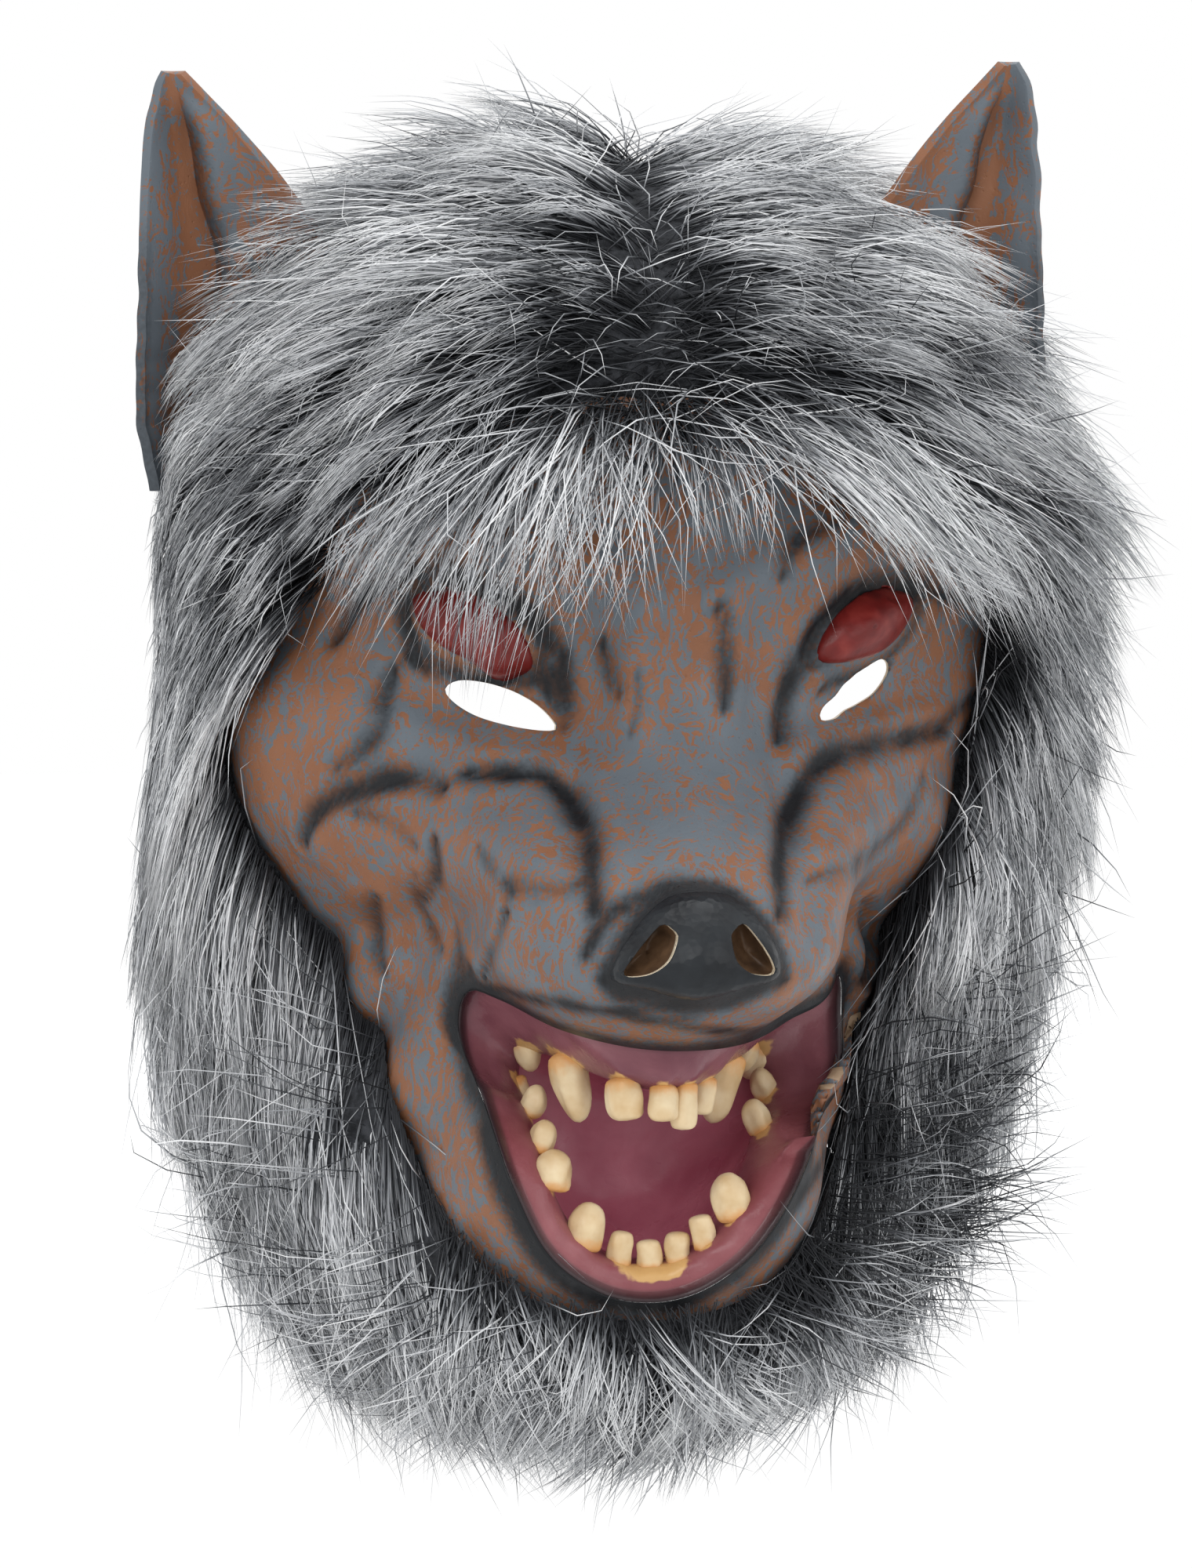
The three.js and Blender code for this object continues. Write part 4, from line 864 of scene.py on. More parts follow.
# Behind the lip the skin always leads outward, so that none of it shows inside the mouth
LIP_FLARE = 0.14
FLARE_TO, FLARE_END = 16, 28
lip_inward = unit((MOUTH_CENTRE - skin_grid[:, :1]) * np.array([1, 0, 1]))
from_lip = skin_grid - skin_grid[:, :1]
lip_away = np.linalg.norm(from_lip, axis=-1)
flare = LIP_FLARE * np.minimum(lip_away, FLARE_TO)
too_far_in = np.clip(np.sum(from_lip * lip_inward, -1) + flare, 0, None)
skin_grid -= lip_inward * (too_far_in * smoothstep(lip_away, FLARE_END, FLARE_TO))[..., None]

# Face skin: the outer grid gets its wall, then the slits and the nostrils are cut through it
skin_faces = grid_faces(SKIN_SPOKES, SKIN_RINGS + 1, True)
face = piece_from("latex_face", placed(skin_grid).reshape(-1, 3), [skin_faces])
face.data.materials.append(skin_paint)
face.data.materials.append(inner_latex)
# The latex runs out thin at the lips
THIN_SHARE = 0.08
THIN_TO, FULL_FROM = 5, 20
thinned = face.vertex_groups.new(name="thinned")
ring_away = np.linalg.norm(skin_grid - skin_grid[:, :1], axis=-1).mean(0)
for ring in range(skin_grid.shape[1]):
    there = [spoke * skin_grid.shape[1] + ring for spoke in range(SKIN_SPOKES)]
    share = THIN_SHARE + (1 - THIN_SHARE) * smoothstep(ring_away[ring], THIN_TO, FULL_FROM)
    thinned.add(there, float(share), "REPLACE")
wall = face.modifiers.new("wall", "SOLIDIFY")
wall.vertex_group = thinned.name
wall.thickness_vertex_group = 0
wall.thickness = WALL * MM
wall.offset = -1
wall.material_offset = 1
wall.material_offset_rim = 0
apply_all(face)
lip_finder = finder_of(placed(skin_grid[:, 0]))
INNER_PAINT_REACH = 4.5
for polygon in face.data.polygons:
    if polygon.material_index == 1 and lip_finder.find(polygon.center)[2] < INNER_PAINT_REACH * MM:
        polygon.material_index = 0


def front_cutter(name, outline, front, back):
    """A block along Y with the given outline, seen from the front in millimetres."""
    outline = np.asarray(outline)
    area = np.sum(outline[:, 0] * np.roll(outline[:, 1], -1) - outline[:, 1] * np.roll(outline[:, 0], -1))
    if area < 0:
        outline = outline[::-1]
    count = len(outline)
    rings = [np.stack([outline[:, 0], np.full(count, y), outline[:, 1]], 1) for y in (front, back)]
    points = placed(np.vstack(rings))
    step = np.arange(count)
    sides = np.stack([step, (step + 1) % count, (step + 1) % count + count, step + count], 1)[:, ::-1]
    cutter = piece_from(name, points, [sides, step[None, :], (step + count)[None, ::-1]])
    cutter.data.materials.append(cut_edge)
    return cutter


def turned_outline(rows, x, z, roll):
    points = smooth_curve(rows, 48, closed=True)
    turned = math.radians(roll)
    return np.stack([x + points[:, 0] * math.cos(turned) - points[:, 1] * math.sin(turned),
                     z + points[:, 0] * math.sin(turned) + points[:, 1] * math.cos(turned)], 1)


# The slits were cut by hand: rows of points across and up, in millimetres
LEFT_SLIT = [
    (-11.6, 0.6), (-9.6, 3.0), (-4.0, 3.9), (2.5, 3.3), (8.0, 1.4), (11.8, -1.6), (9.6, -2.9), (3.0, -3.6),
    (-4.0, -3.3), (-9.2, -1.6),
]
RIGHT_SLIT = [
    (-9.6, -2.2), (-8.2, -0.2), (-4.4, 1.0), (-1.4, 2.6), (4.0, 3.5), (9.2, 3.4), (9.6, 0.2), (5.2, -2.6),
    (0.0, -3.1), (-3.4, -3.0), (-6.6, -3.4),
]
NOSTRIL = [(0.06, -0.187), (0.066, -0.18), (0.1, -0.177), (0.169, -0.212), (0.122, -0.215), (0.078, -0.205)]
SLIT_CUT = (-130, -20)
NOSTRIL_CUT = (-200, -1.3 * FACE_DEPTH)
left_slit = turned_outline(LEFT_SLIT, -0.39 * HALF_WIDTH, -0.005 * FACE_HEIGHT, -14)
right_slit = turned_outline(RIGHT_SLIT, 0.45 * HALF_WIDTH, 0.006 * FACE_HEIGHT, 24)
cutters = [front_cutter("slit_left", left_slit, *SLIT_CUT), front_cutter("slit_right", right_slit, *SLIT_CUT)]
nostril_blocks = []
for side in (-1, 1):
    outline = smooth_curve([(side * x * HALF_WIDTH, z * FACE_HEIGHT) for x, z in NOSTRIL], 36, closed=True)
    nostril_blocks.append(front_cutter("nostril", outline, *NOSTRIL_CUT))


def cut_away(thing, blocks):
    for block in blocks:
        cut = thing.modifiers.new("cut", "BOOLEAN")
        cut.object = block
        cut.operation = "DIFFERENCE"
        cut.solver = "EXACT"
        cut.material_mode = "TRANSFER"
    apply_all(thing)


cut_away(face, cutters + nostril_blocks)

# Paint is put on again by place, so that it also lies right round the cuts
grid_finder = finder_of(placed(skin_grid).reshape(-1, 3))


def carry_paint(thing, values):
    places = np.empty(len(thing.data.vertices) * 3, np.float32)
    thing.data.vertices.foreach_get("co", places)
    nearest = np.array([grid_finder.find(place)[1] for place in places.reshape(-1, 3)])
    for key, value in values.items():
        layer = thing.data.attributes.new(key, "FLOAT", "POINT")
        layer.data.foreach_set("value", value.ravel()[nearest].astype(np.float32))


carry_paint(face, {"shade": skin_shade, "blue": skin_blue})
finished(face, ["face_skin"])


# Patches of thick paint that follow the skin: eyes and nose
def skin_over(x, z):
    """The skin that is seen from the front at places in millimetres."""
    target = np.stack([x, z], -1)
    flat = target.copy()
    for _ in range(7):
        start = np.stack([flat[..., 0], np.zeros(flat.shape[:-1]), flat[..., 1]], -1)
        travel = mass_hit(start, np.broadcast_to(AHEAD, start.shape), FRONT_REACH)
        direction = unit(start + AHEAD * travel[..., None] - FACE_CENTRE)
        points = skin(direction)
        flat = flat + 0.8 * (target - np.stack([points[..., 0], points[..., 2]], -1))
    return points


def paint_patch(name, outline, thickness, crown, paint):
    """A closed patch within an outline, thickest in the middle and running out to nothing at its edge."""
    outline = np.asarray(outline)
    middle = outline.mean(0)
    rings = np.linspace(0, 1, 22)[1:]
    flat = middle + (outline - middle)[:, None, :] * rings[:, None]
    points = skin_over(flat[..., 0], flat[..., 1])
    centre = skin_over(middle[None, 0], middle[None, 1])[0]
    normals = grid_normals(points, True)
    if np.sum(normals[:, :, 1]) > 0:
        normals = -normals
    height = thickness * (1 - rings**8) + crown * (1 - rings**2)
    outer = points + normals * height[None, :, None] - normals * 0.12 * (rings[None, :, None] > 0.99)
    inner = points - normals * 0.5
    top = centre + np.array([0, -1, 0]) * (thickness + crown)
    low = centre + np.array([0, 0.5, 0])
    count, columns = outer.shape[:2]
    verts = np.vstack([outer.reshape(-1, 3), inner.reshape(-1, 3), [top], [low]])
    faces = wall_faces(count, columns, True)
    faces = [faces[0], faces[1], faces[3]]
    step = np.arange(count)
    after = (step + 1) % count
    tip = np.full(count, count * columns * 2)
    faces.append(np.stack([tip, after * columns, step * columns], 1))
    faces.append(np.stack([tip + 1, step * columns + count * columns, after * columns + count * columns], 1))
    patch = piece_from(name, placed(verts), faces)
    faces_outward(patch)
    patch.data.materials.append(paint)
    return patch


LEFT_EYE = [
    (-14.2, 1.6), (-12.2, 4.8), (-8.6, 6.9), (-3.8, 7.4), (1.2, 6.8), (6.4, 5.2), (10.2, 2.6), (13.6, -1.4),
    (12.2, -4.6), (9.4, -6.9), (5.4, -6.4), (1.2, -5.6), (-3.4, -5.4), (-8.4, -4.2), (-12.0, -1.8),
]
RIGHT_EYE = [
    (-13.2, -1.2), (-11.4, 2.2), (-7.2, 5.0), (-2.4, 6.6), (3.4, 7.2), (8.8, 6.0), (12.8, 3.4), (13.6, 0.2),
    (10.6, -3.4), (5.8, -5.6), (0.4, -6.2), (-5.0, -5.2), (-9.8, -3.6),
]
for (name, x, z, roll), rows in zip(EYES, (LEFT_EYE, RIGHT_EYE)):
    outline = turned_outline(rows, x * HALF_WIDTH, z * FACE_HEIGHT, roll)
    patch = paint_patch("red_" + name, outline, 0.8, 0.7, eye_paint)
    finished(patch, [name])

nose = paint_patch("black_nose", NOSE_LOOP, 0.35, 0.4, nose_paint)
nose.data.materials.append(cut_edge)
cut_away(nose, nostril_blocks)
finished(nose, ["nose_pad"])
for block in cutters + nostril_blocks:
    bpy.data.objects.remove(block)


def nostril_pocket(name, side):
    """The moulded hollow behind a nostril, which was cut open only along its edge."""
    outline = smooth_curve([(side * x * HALF_WIDTH, z * FACE_HEIGHT) for x, z in NOSTRIL], 36, closed=True)
    middle = outline.mean(0)
    seat = skin_over(outline[:, 0], outline[:, 1])
    rings = []
    for deep, size in ((0.7, 1.04), (2.2, 1.0), (4.4, 0.86), (6.0, 0.62), (6.9, 0.3), (7.1, 0.02)):
        ring = seat.copy()
        ring[:, [0, 2]] = middle + (outline - middle) * size
        ring[:, 1] = seat[:, 1] * min(size, 1) + seat[:, 1].mean() * (1 - min(size, 1)) + deep
        rings.append(ring)
    grid = np.stack(rings, 1)
    pocket = piece_from(name, placed(grid).reshape(-1, 3), [grid_faces(36, len(rings), True)])
    faces_outward(pocket, 0.0001)
    wall = pocket.modifiers.new("wall", "SOLIDIFY")
    wall.thickness = 0.8 * MM
    wall.offset = 1
    apply_all(pocket)
    # The hollow's brown latex is darkened as painted shade
    pocket.data.materials.append(pocket_painted_shade)
    finished(pocket, ["nose_pad"])


nostril_pocket("nostril_left", -1)
nostril_pocket("nostril_right", 1)

# Mouth lining: rings from the lips over the gums to the back of the mouth, as inset, how far the ring
# takes part in the gum being taller above than below, depth and step back
GUM_SWING = 0.11
LINING_RINGS = [
    (0, 0, 0, 0.008), (0.1, 0.3, 0, 0.012), (0.2, 0.7, 0.01, 0.02), (0.28, 1, 0.03, 0.045),
    (0.31, 1, 0.08, 0.09), (0.26, 1, 0.35, 0.09), (0.3, 0.6, 0.66, 0.06), (0.5, 0.3, 0.92, 0.02),
    (0.8, 0.1, 0.99, 0.002), (1, 0, 1, 0),
]
LINING_SPOKES = 170
UPPER = [
    ("incisor", 0.928, 1.0, 1.0), ("incisor", 0.981, 0.85, 0.85), ("incisor", 0.017, 0.85, 1.1),
    ("incisor", 0.06, 0.85, 0.9), ("canine", 0.114, 1.15, 1.75), ("molar", 0.151, 0.85, 0.85),
    ("molar", 0.198, 0.8, 0.85), ("canine", 0.868, 1.1, 1.75), ("molar", 0.831, 0.75, 0.85),
    ("molar", 0.779, 0.8, 0.95),
]
UPPER_NAMES = ["incisor_left_outer", "incisor_left_inner", "incisor_right_inner", "incisor_right_outer",
               "canine_right", "premolar_right", "molar_right", "canine_left", "premolar_left", "molar_left"]
LOWER = [
    ("molar", 0.74, 0.75, 0.8), ("molar", 0.703, 0.8, 0.8), ("molar", 0.662, 1.1, 0.95),
    ("molar", 0.583, 1.05, 1.15), ("incisor", 0.537, 0.66, 0.9), ("incisor", 0.504, 0.68, 0.75),
    ("incisor", 0.473, 0.68, 0.8), ("incisor", 0.441, 0.66, 0.85), ("molar", 0.394, 1.05, 1.15),
    ("molar", 0.288, 0.9, 0.85), ("molar", 0.246, 0.8, 0.8),
]
LOWER_NAMES = ["lower_molar_left", "lower_side_left", "lower_back_left", "lower_canine_left", "lower_front_1",
               "lower_front_2", "lower_front_3", "lower_front_4", "lower_canine_right", "lower_back_right",
               "lower_molar_right"]
ALL_TEETH = ([(name, -1, *row) for name, row in zip(UPPER_NAMES, UPPER)]
             + [(name, 1, *row) for name, row in zip(LOWER_NAMES, LOWER)])


def lip_edge(share):
    """The lip and the way in from it through the latex."""
    share = np.asarray(share, float)
    step = 0.5 / 26
    direction = lip_direction(share)
    roll = 360 * np.mod(share, 1)
    lip = plain_skin(direction)
    after = plain_skin(lip_direction(share + step))
    before = plain_skin(lip_direction(share - step))
    edge = aim(roll, rim_value(roll, LATEX_EDGE))
    outer = plain_skin(direction_between(direction, edge, np.full(share.shape, step)))
    normal = unit(np.cross(after - before, outer - lip))
    normal *= np.sign(np.sum(normal * direction, -1))[..., None]
    return lip, normal


def lining_points(share, rings):
    share = np.asarray(share, float)
    lip, normal = lip_edge(share)
    inner = lip - normal * (WALL + 3.2 * GAP)
    rows = []
    for inset, swing, depth, back in rings:
        inset = inset + GUM_SWING * swing * np.cos(2 * math.pi * share)
        rows.append(np.stack([
            inner[..., 0] + (MOUTH_CENTRE[0] - inner[..., 0]) * inset,
            inner[..., 1] + (MOUTH_CENTRE[1] - inner[..., 1]) * depth + back * FACE_DEPTH,
            inner[..., 2] + (MOUTH_CENTRE[2] - inner[..., 2]) * inset,
        ], -1))
    return np.stack(rows, -2), lip, normal


lining_share = np.arange(LINING_SPOKES) / LINING_SPOKES
ring_table = smooth_curve([(at * 0.6, *row) for at, row in enumerate(LINING_RINGS)], 54)[:, 1:]
ring_table[-1] = (1, 0, 1, 0)
lining_grid, lip_points, lip_normals = lining_points(lining_share, ring_table)
sculpted_lip = lip_points + lip_direction(lining_share) * sculpted(lip_points)[..., None]
edge_rows = [sculpted_lip - lip_normals * 0.25, sculpted_lip - lip_normals * 1.3]
lining_grid = np.concatenate([np.stack(edge_rows, 1), lining_grid], 1)
# Its rings run smoother and rounder the deeper they lie
for turn in range(60):
    first = 10 + turn // 2
    held = lining_grid[:, first:]
    lining_grid[:, first:] = (np.roll(held, 1, 0) + 2 * held + np.roll(held, -1, 0)) / 4
flat_back = smoothstep(ring_table[:, 0], 0.45, 0.8)[None, :]
lining_grid[:, 2:, 1] += (MOUTH_CENTRE[1] - lining_grid[:, 2:, 1]) * flat_back
lining_normals = grid_normals(lining_grid, True)
if np.mean(lining_normals[:, 20, 1]) > 0:
    lining_normals = -lining_normals
gum_swell = np.zeros(lining_share.shape)
stain_around = np.zeros(lining_share.shape)
for _, _, _, around, width, _ in ALL_TEETH:
    away = np.abs(np.mod(lining_share - around + 0.5, 1) - 0.5)
    gum_swell += np.exp(-(away / 0.012)**2)
    stain_around = np.maximum(stain_around, np.exp(-(away / (0.018 * width))**2))
column = np.arange(lining_grid.shape[1])
gum_band = np.exp(-((column - 15) / 5.0)**2)
lining_grid += lining_normals * (gum_swell[:, None] * gum_band * 0.8)[..., None]
stain = stain_around[:, None] * np.exp(-((column - 20) / 5.5)**2)
front_low = np.exp(-((np.mod(lining_share, 1) - 0.5) / 0.045)**2)
stain = np.maximum(stain, front_low[:, None] * np.exp(-((column - 15) / 8.0)**2))
deep = smoothstep(column, 22, 34)[None, :] * np.ones((LINING_SPOKES, 1))
lower_side = smoothstep(np.cos(2 * math.pi * lining_share), 0.1, -0.3)[:, None]
red = lower_side * (1 - smoothstep(column, 14, 30))[None, :]
mouth_shade = 0.85 * np.exp(-(column / 3.0)**2)[None, :] * np.ones((LINING_SPOKES, 1))
wall_share = np.clip((column - 2) / 12, 0.12, 1)
lining_back = lining_grid - lining_normals * (WALL * wall_share)[None, :, None]
lining_grid[:, -1] = lining_grid[:, -1].mean(0)
lining_back[:, -1] = lining_grid[0, -1] + np.array([0, WALL, 0])
both = np.vstack([lining_grid.reshape(-1, 3), lining_back.reshape(-1, 3)])
gums = piece_from("mouth_gums", placed(both), wall_faces(LINING_SPOKES, lining_grid.shape[1], True)[:3], {
    "stain": np.tile(stain.ravel(), 2), "deep": np.tile(deep.ravel(), 2), "red": np.tile(red.ravel(), 2),
    "shade": np.tile(mouth_shade.ravel(), 2)})
faces_outward(gums, 0.00002)
gums.data.materials.append(lining_paint)
finished(gums, ["mouth_lining"])

# Teeth: one of each kind is modelled from a ball, then set round the gums
TOOTH_SHAPES = {
    "incisor": [(-0.3, 0.84), (0.0, 1.0), (0.3, 1.08), (0.6, 1.08), (0.84, 1.0), (0.96, 0.76)],
    "canine": [(-0.2, 1.06), (0.05, 1.16), (0.3, 1.12), (0.55, 1.0), (0.78, 0.8), (0.93, 0.5)],
    "molar": [(-0.3, 0.84), (0.0, 1.0), (0.3, 1.1), (0.55, 1.06), (0.78, 0.82), (0.93, 0.48)],
}


def model_tooth(kind):
    bpy.ops.object.select_all(action="DESELECT")
    bpy.ops.mesh.primitive_uv_sphere_add(segments=14, ring_count=7, radius=1)
    tooth = bpy.context.active_object
    tooth.name = "tooth_" + kind
    heights = sorted({round(v.co.z, 4) for v in tooth.data.vertices})
    profile = [(-0.34, 0.0)] + TOOTH_SHAPES[kind] + [(1.0, 0.0)]
    for height, (up, girth) in zip(heights, profile):
        ring = [v for v in tooth.data.vertices if round(v.co.z, 4) == height]
        for vertex in ring:
            size = math.hypot(vertex.co.x, vertex.co.y) or 1
            vertex.co = (vertex.co.x / size * girth, vertex.co.y / size * girth * 0.82, up)
    rounded = tooth.modifiers.new("rounded", "SUBSURF")
    rounded.levels = rounded.render_levels = 1
    apply_all(tooth)
    return tooth


TOOTH_WIDTH = 7.8
TOOTH_LENGTH = 8.0
ROOT_SHARE = 0.45
masters = {kind: model_tooth(kind) for kind in TOOTH_SHAPES}
for at, (name, jaw, kind, around, width, length) in enumerate(ALL_TEETH):
    share = np.array([around, around + 0.01])
    seats, _, _ = lining_points(share, [LINING_RINGS[3]])
    seat = seats[0, 0]
    along = unit(seats[1, 0] - seat)
    inward = -0.4 * np.clip(seat[0] / (0.33 * HALF_WIDTH), -1, 1)
    axis = unit(np.array([inward, -0.1, jaw]))
    along = unit(along - axis * np.dot(along, axis))
    thick = np.cross(axis, along)
    radius = TOOTH_WIDTH * width / 2
    tooth = bpy.data.objects.new("tooth_cap_" + name, masters[kind].data.copy())
    bpy.context.scene.collection.objects.link(tooth)
    count = len(tooth.data.vertices)
    local = np.empty(count * 3, np.float32)
    tooth.data.vertices.foreach_get("co", local)
    local = local.reshape(-1, 3)
    lumps = np.array([noise.noise(Vector((*place,)) * 1.7 + Vector((at * 3.1, 0, 0))) for place in local])
    side = local[:, :1] * along * radius + local[:, 1:2] * thick * radius
    up = np.where(local[:, 2:] < 0, ROOT_SHARE, 1) * local[:, 2:] * axis * length * TOOTH_LENGTH
    points = seat + side * (1 + 0.2 * lumps[:, None]) + up
    tooth.data.vertices.foreach_set("co", placed(points).astype(np.float32).ravel())
    root = tooth.data.attributes.new("root", "FLOAT", "POINT")
    root.data.foreach_set("value", np.clip(0.95 - 2.1 * local[:, 2], 0, 1).astype(np.float32))
    tooth.data.update()
    tooth.data.materials.append(enamel_paint)
    only(tooth)
    bpy.ops.object.shade_smooth()
    faces_outward(tooth)
    finished(tooth, ["tooth_" + name])
for master in masters.values():
    bpy.data.objects.remove(master)

# Reach of the skin by direction, read when ears and strands are kept off it
REACH_ROLLS = np.arange(0, 361, 2.0)
REACH_AWAYS = np.arange(0, 125, 2.0)
roll_map, away_map = np.meshgrid(REACH_ROLLS, REACH_AWAYS, indexing="ij")
reach_map = np.linalg.norm(plain_skin(aim(roll_map, away_map)) - FACE_CENTRE, axis=-1)


def reach_toward(direction):
    roll = np.mod(np.degrees(np.arctan2(direction[..., 0], direction[..., 2])), 360) / 2
    away = np.degrees(np.arccos(np.clip(-direction[..., 1], -1, 1))) / 2
    away = np.clip(away, 0, len(REACH_AWAYS) - 1.001)
    r0, a0 = np.floor(roll).astype(int), np.floor(away).astype(int)
    fr, fa = roll - r0, away - a0
    r1 = np.minimum(r0 + 1, len(REACH_ROLLS) - 1)
    return (reach_map[r0, a0] * (1 - fr) * (1 - fa) + reach_map[r1, a0] * fr * (1 - fa)
            + reach_map[r0, a0 + 1] * (1 - fr) * fa + reach_map[r1, a0 + 1] * fr * fa)


# Ears: a grid is shaped into a curled leaf with its inner side folded forward, then given its wall
EAR_HEIGHT = 92.0
EAR_WIDTH = 45.0
EAR_WALL = 2.4
EAR_SEAT = 1.5
EAR_SECTIONS = [
    (0, 0.56, 0.06, 0.3), (0.17, 0.64, 0.0, 0.3), (0.38, 0.86, 0.0, 0.3), (0.55, 0.98, 0.01, 0.26),
    (0.72, 0.76, 0.02, 0.2), (0.86, 0.52, 0.04, 0.12), (0.95, 0.34, 0.08, 0.06), (1, 0.24, 0.13, 0.02),
]
EAR_COLUMNS = 44
EAR_ROWS = 70
ear_curve = smooth_curve(EAR_SECTIONS, 400)


def make_ear(name, side, line, lift, seed):
    bpy.ops.object.select_all(action="DESELECT")
    bpy.ops.mesh.primitive_grid_add(x_subdivisions=EAR_COLUMNS, y_subdivisions=EAR_ROWS, size=1)
    ear = bpy.context.active_object
    ear.name = name
    count = len(ear.data.vertices)
    local = np.empty(count * 3, np.float32)
    ear.data.vertices.foreach_get("co", local)
    local = local.reshape(-1, 3)
    across, up = local[:, 0] + 0.5, local[:, 1] + 0.5
    inner, outer, scoop = (np.interp(up, ear_curve[:, 0], ear_curve[:, key]) for key in (1, 2, 3))
    share = inner + (outer - inner) * across
    x = side * (line * HALF_WIDTH - share * EAR_WIDTH)
    z = 0.18 * FACE_HEIGHT + up * (1 + lift) * EAR_HEIGHT
    fold = 0.52 - 0.16 * smoothstep(up, 0.7, 0.95) - 0.04 * smoothstep(up, 0.5, 0.3)
    present = smoothstep(up, 0.97, 0.86) * smoothstep(up, 0.18, 0.36)
    flap = smoothstep(across, fold + 0.035, fold - 0.035) * present
    y = -0.2 * FACE_DEPTH + scoop * EAR_WIDTH * np.sin(math.pi * across)
    y += 2.6 * present * smoothstep(across, fold - 0.02, fold + 0.05) * smoothstep(across, 1.0, 0.75)
    y -= 3.0 * flap * smoothstep(across, 0, fold)
    place = np.stack([x, y, z], 1)
    ripple = np.array([noise.noise(Vector((p[0] / 9 + seed, p[1] / 9, p[2] / 22))) for p in place])
    ripples = np.sin(z * 0.9 + 5 * across) * smoothstep(up, 0.5, 0.3) * smoothstep(across, 0.45, 0.7)
    place[:, 1] += 0.9 * ripple + 0.35 * ripples
    waver = np.array([noise.noise(Vector((seed, p / 7, 0))) for p in place[:, 2]])
    place[:, 0] += side * 0.7 * waver * across
    out = place - FACE_CENTRE
    short = reach_toward(unit(out)) + EAR_SEAT - np.linalg.norm(out, axis=1)
    place += unit(out) * np.clip(short, 0, None)[:, None]
    crease = np.exp(-((across - fold) / 0.05)**2) * present
    low = smoothstep(up, 0.42, 0.2)
    shade = np.clip(0.55 * crease + 0.45 * low * np.exp(-((across - 0.6) / 0.25)**2)
                    + 0.5 * np.exp(-((1 - across) / 0.035)**2) * smoothstep(up, 0.75, 0.5), 0, 1)
    blue = (0.9 * np.exp(-((1 - across) / 0.16)**2) - 1.1 * np.exp(-((across - fold - 0.18) / 0.17)**2)
            + 0.6 * np.exp(-((across - fold + 0.12) / 0.1)**2) - 0.5 * np.exp(-(across / 0.14)**2))
    for key, value in (("shade", shade), ("blue", 2.0 * blue)):
        ear.data.attributes.new(key, "FLOAT", "POINT").data.foreach_set("value", value.astype(np.float32))
    ear.data.vertices.foreach_set("co", placed(place).astype(np.float32).ravel())
    if side > 0:
        ear.data.flip_normals()
    ear.data.update()
    wall = ear.modifiers.new("wall", "SOLIDIFY")
    wall.thickness = EAR_WALL * MM
    wall.offset = -1
    edge = ear.modifiers.new("edge", "BEVEL")
    edge.width = 0.0007
    edge.segments = 2
    edge.angle_limit = math.radians(60)
    apply_all(ear)
    bpy.ops.object.shade_smooth()
    faces_outward(ear)
    ear.data.materials.append(skin_paint)
    return ear


for name, side, line, lift in (("left", -1, 1.19, 0.0), ("right", 1, 1.05, 0.05)):
    finished(make_ear("latex_ear_" + name, side, line, lift, 3.0 + side), ["ear_" + name])

# The front edge of the cloth is glued into the latex
CLOTH_GAP = 1.2
GLUED_IN = 2.6
GLUED_SHARE = 0.05


def cloth_point(roll, along, lift=0.0):
    """Points of the cloth by roll and by share of the way from its front edge to its loose one."""
    front = aim(roll, side_value(roll, FUR_EDGE, FUR_EDGE_LEFT))
    free = aim(roll, rim_value(roll, FREE_EDGE))
    direction = direction_between(front, free, along)
    on_skin = reach_toward(direction) + CLOTH_GAP
    near = reach_toward(front) + CLOTH_GAP
    spread = near + (side_value(roll, FREE_REACH, FREE_REACH_LEFT) * HALF_WIDTH - near) * along
    glued = GLUED_IN * np.exp(-(along / GLUED_SHARE)**2)
    return FACE_CENTRE + direction * (np.maximum(on_skin, spread) - glued + lift)[..., None]


def fur_floor(direction):
    """How far out the skin, or the cloth where there is cloth, lies in a direction."""
    roll = np.mod(np.degrees(np.arctan2(direction[..., 0], direction[..., 2])), 360)
    away = np.degrees(np.arccos(np.clip(-direction[..., 1], -1, 1)))
    edge = side_value(roll, FUR_EDGE, FUR_EDGE_LEFT)
    free = rim_value(roll, FREE_EDGE)
    along = np.clip((away - edge) / (free - edge), 0, 1)
    skin_reach = reach_toward(direction)
    near = reach_toward(aim(roll, edge)) + CLOTH_GAP
    spread = near + (side_value(roll, FREE_REACH, FREE_REACH_LEFT) * HALF_WIDTH - near) * along
    on_cloth = smoothstep(away, edge - 1.5, edge + 1.5)
    return skin_reach + on_cloth * (np.maximum(spread - skin_reach, 1.2) + 2.9)


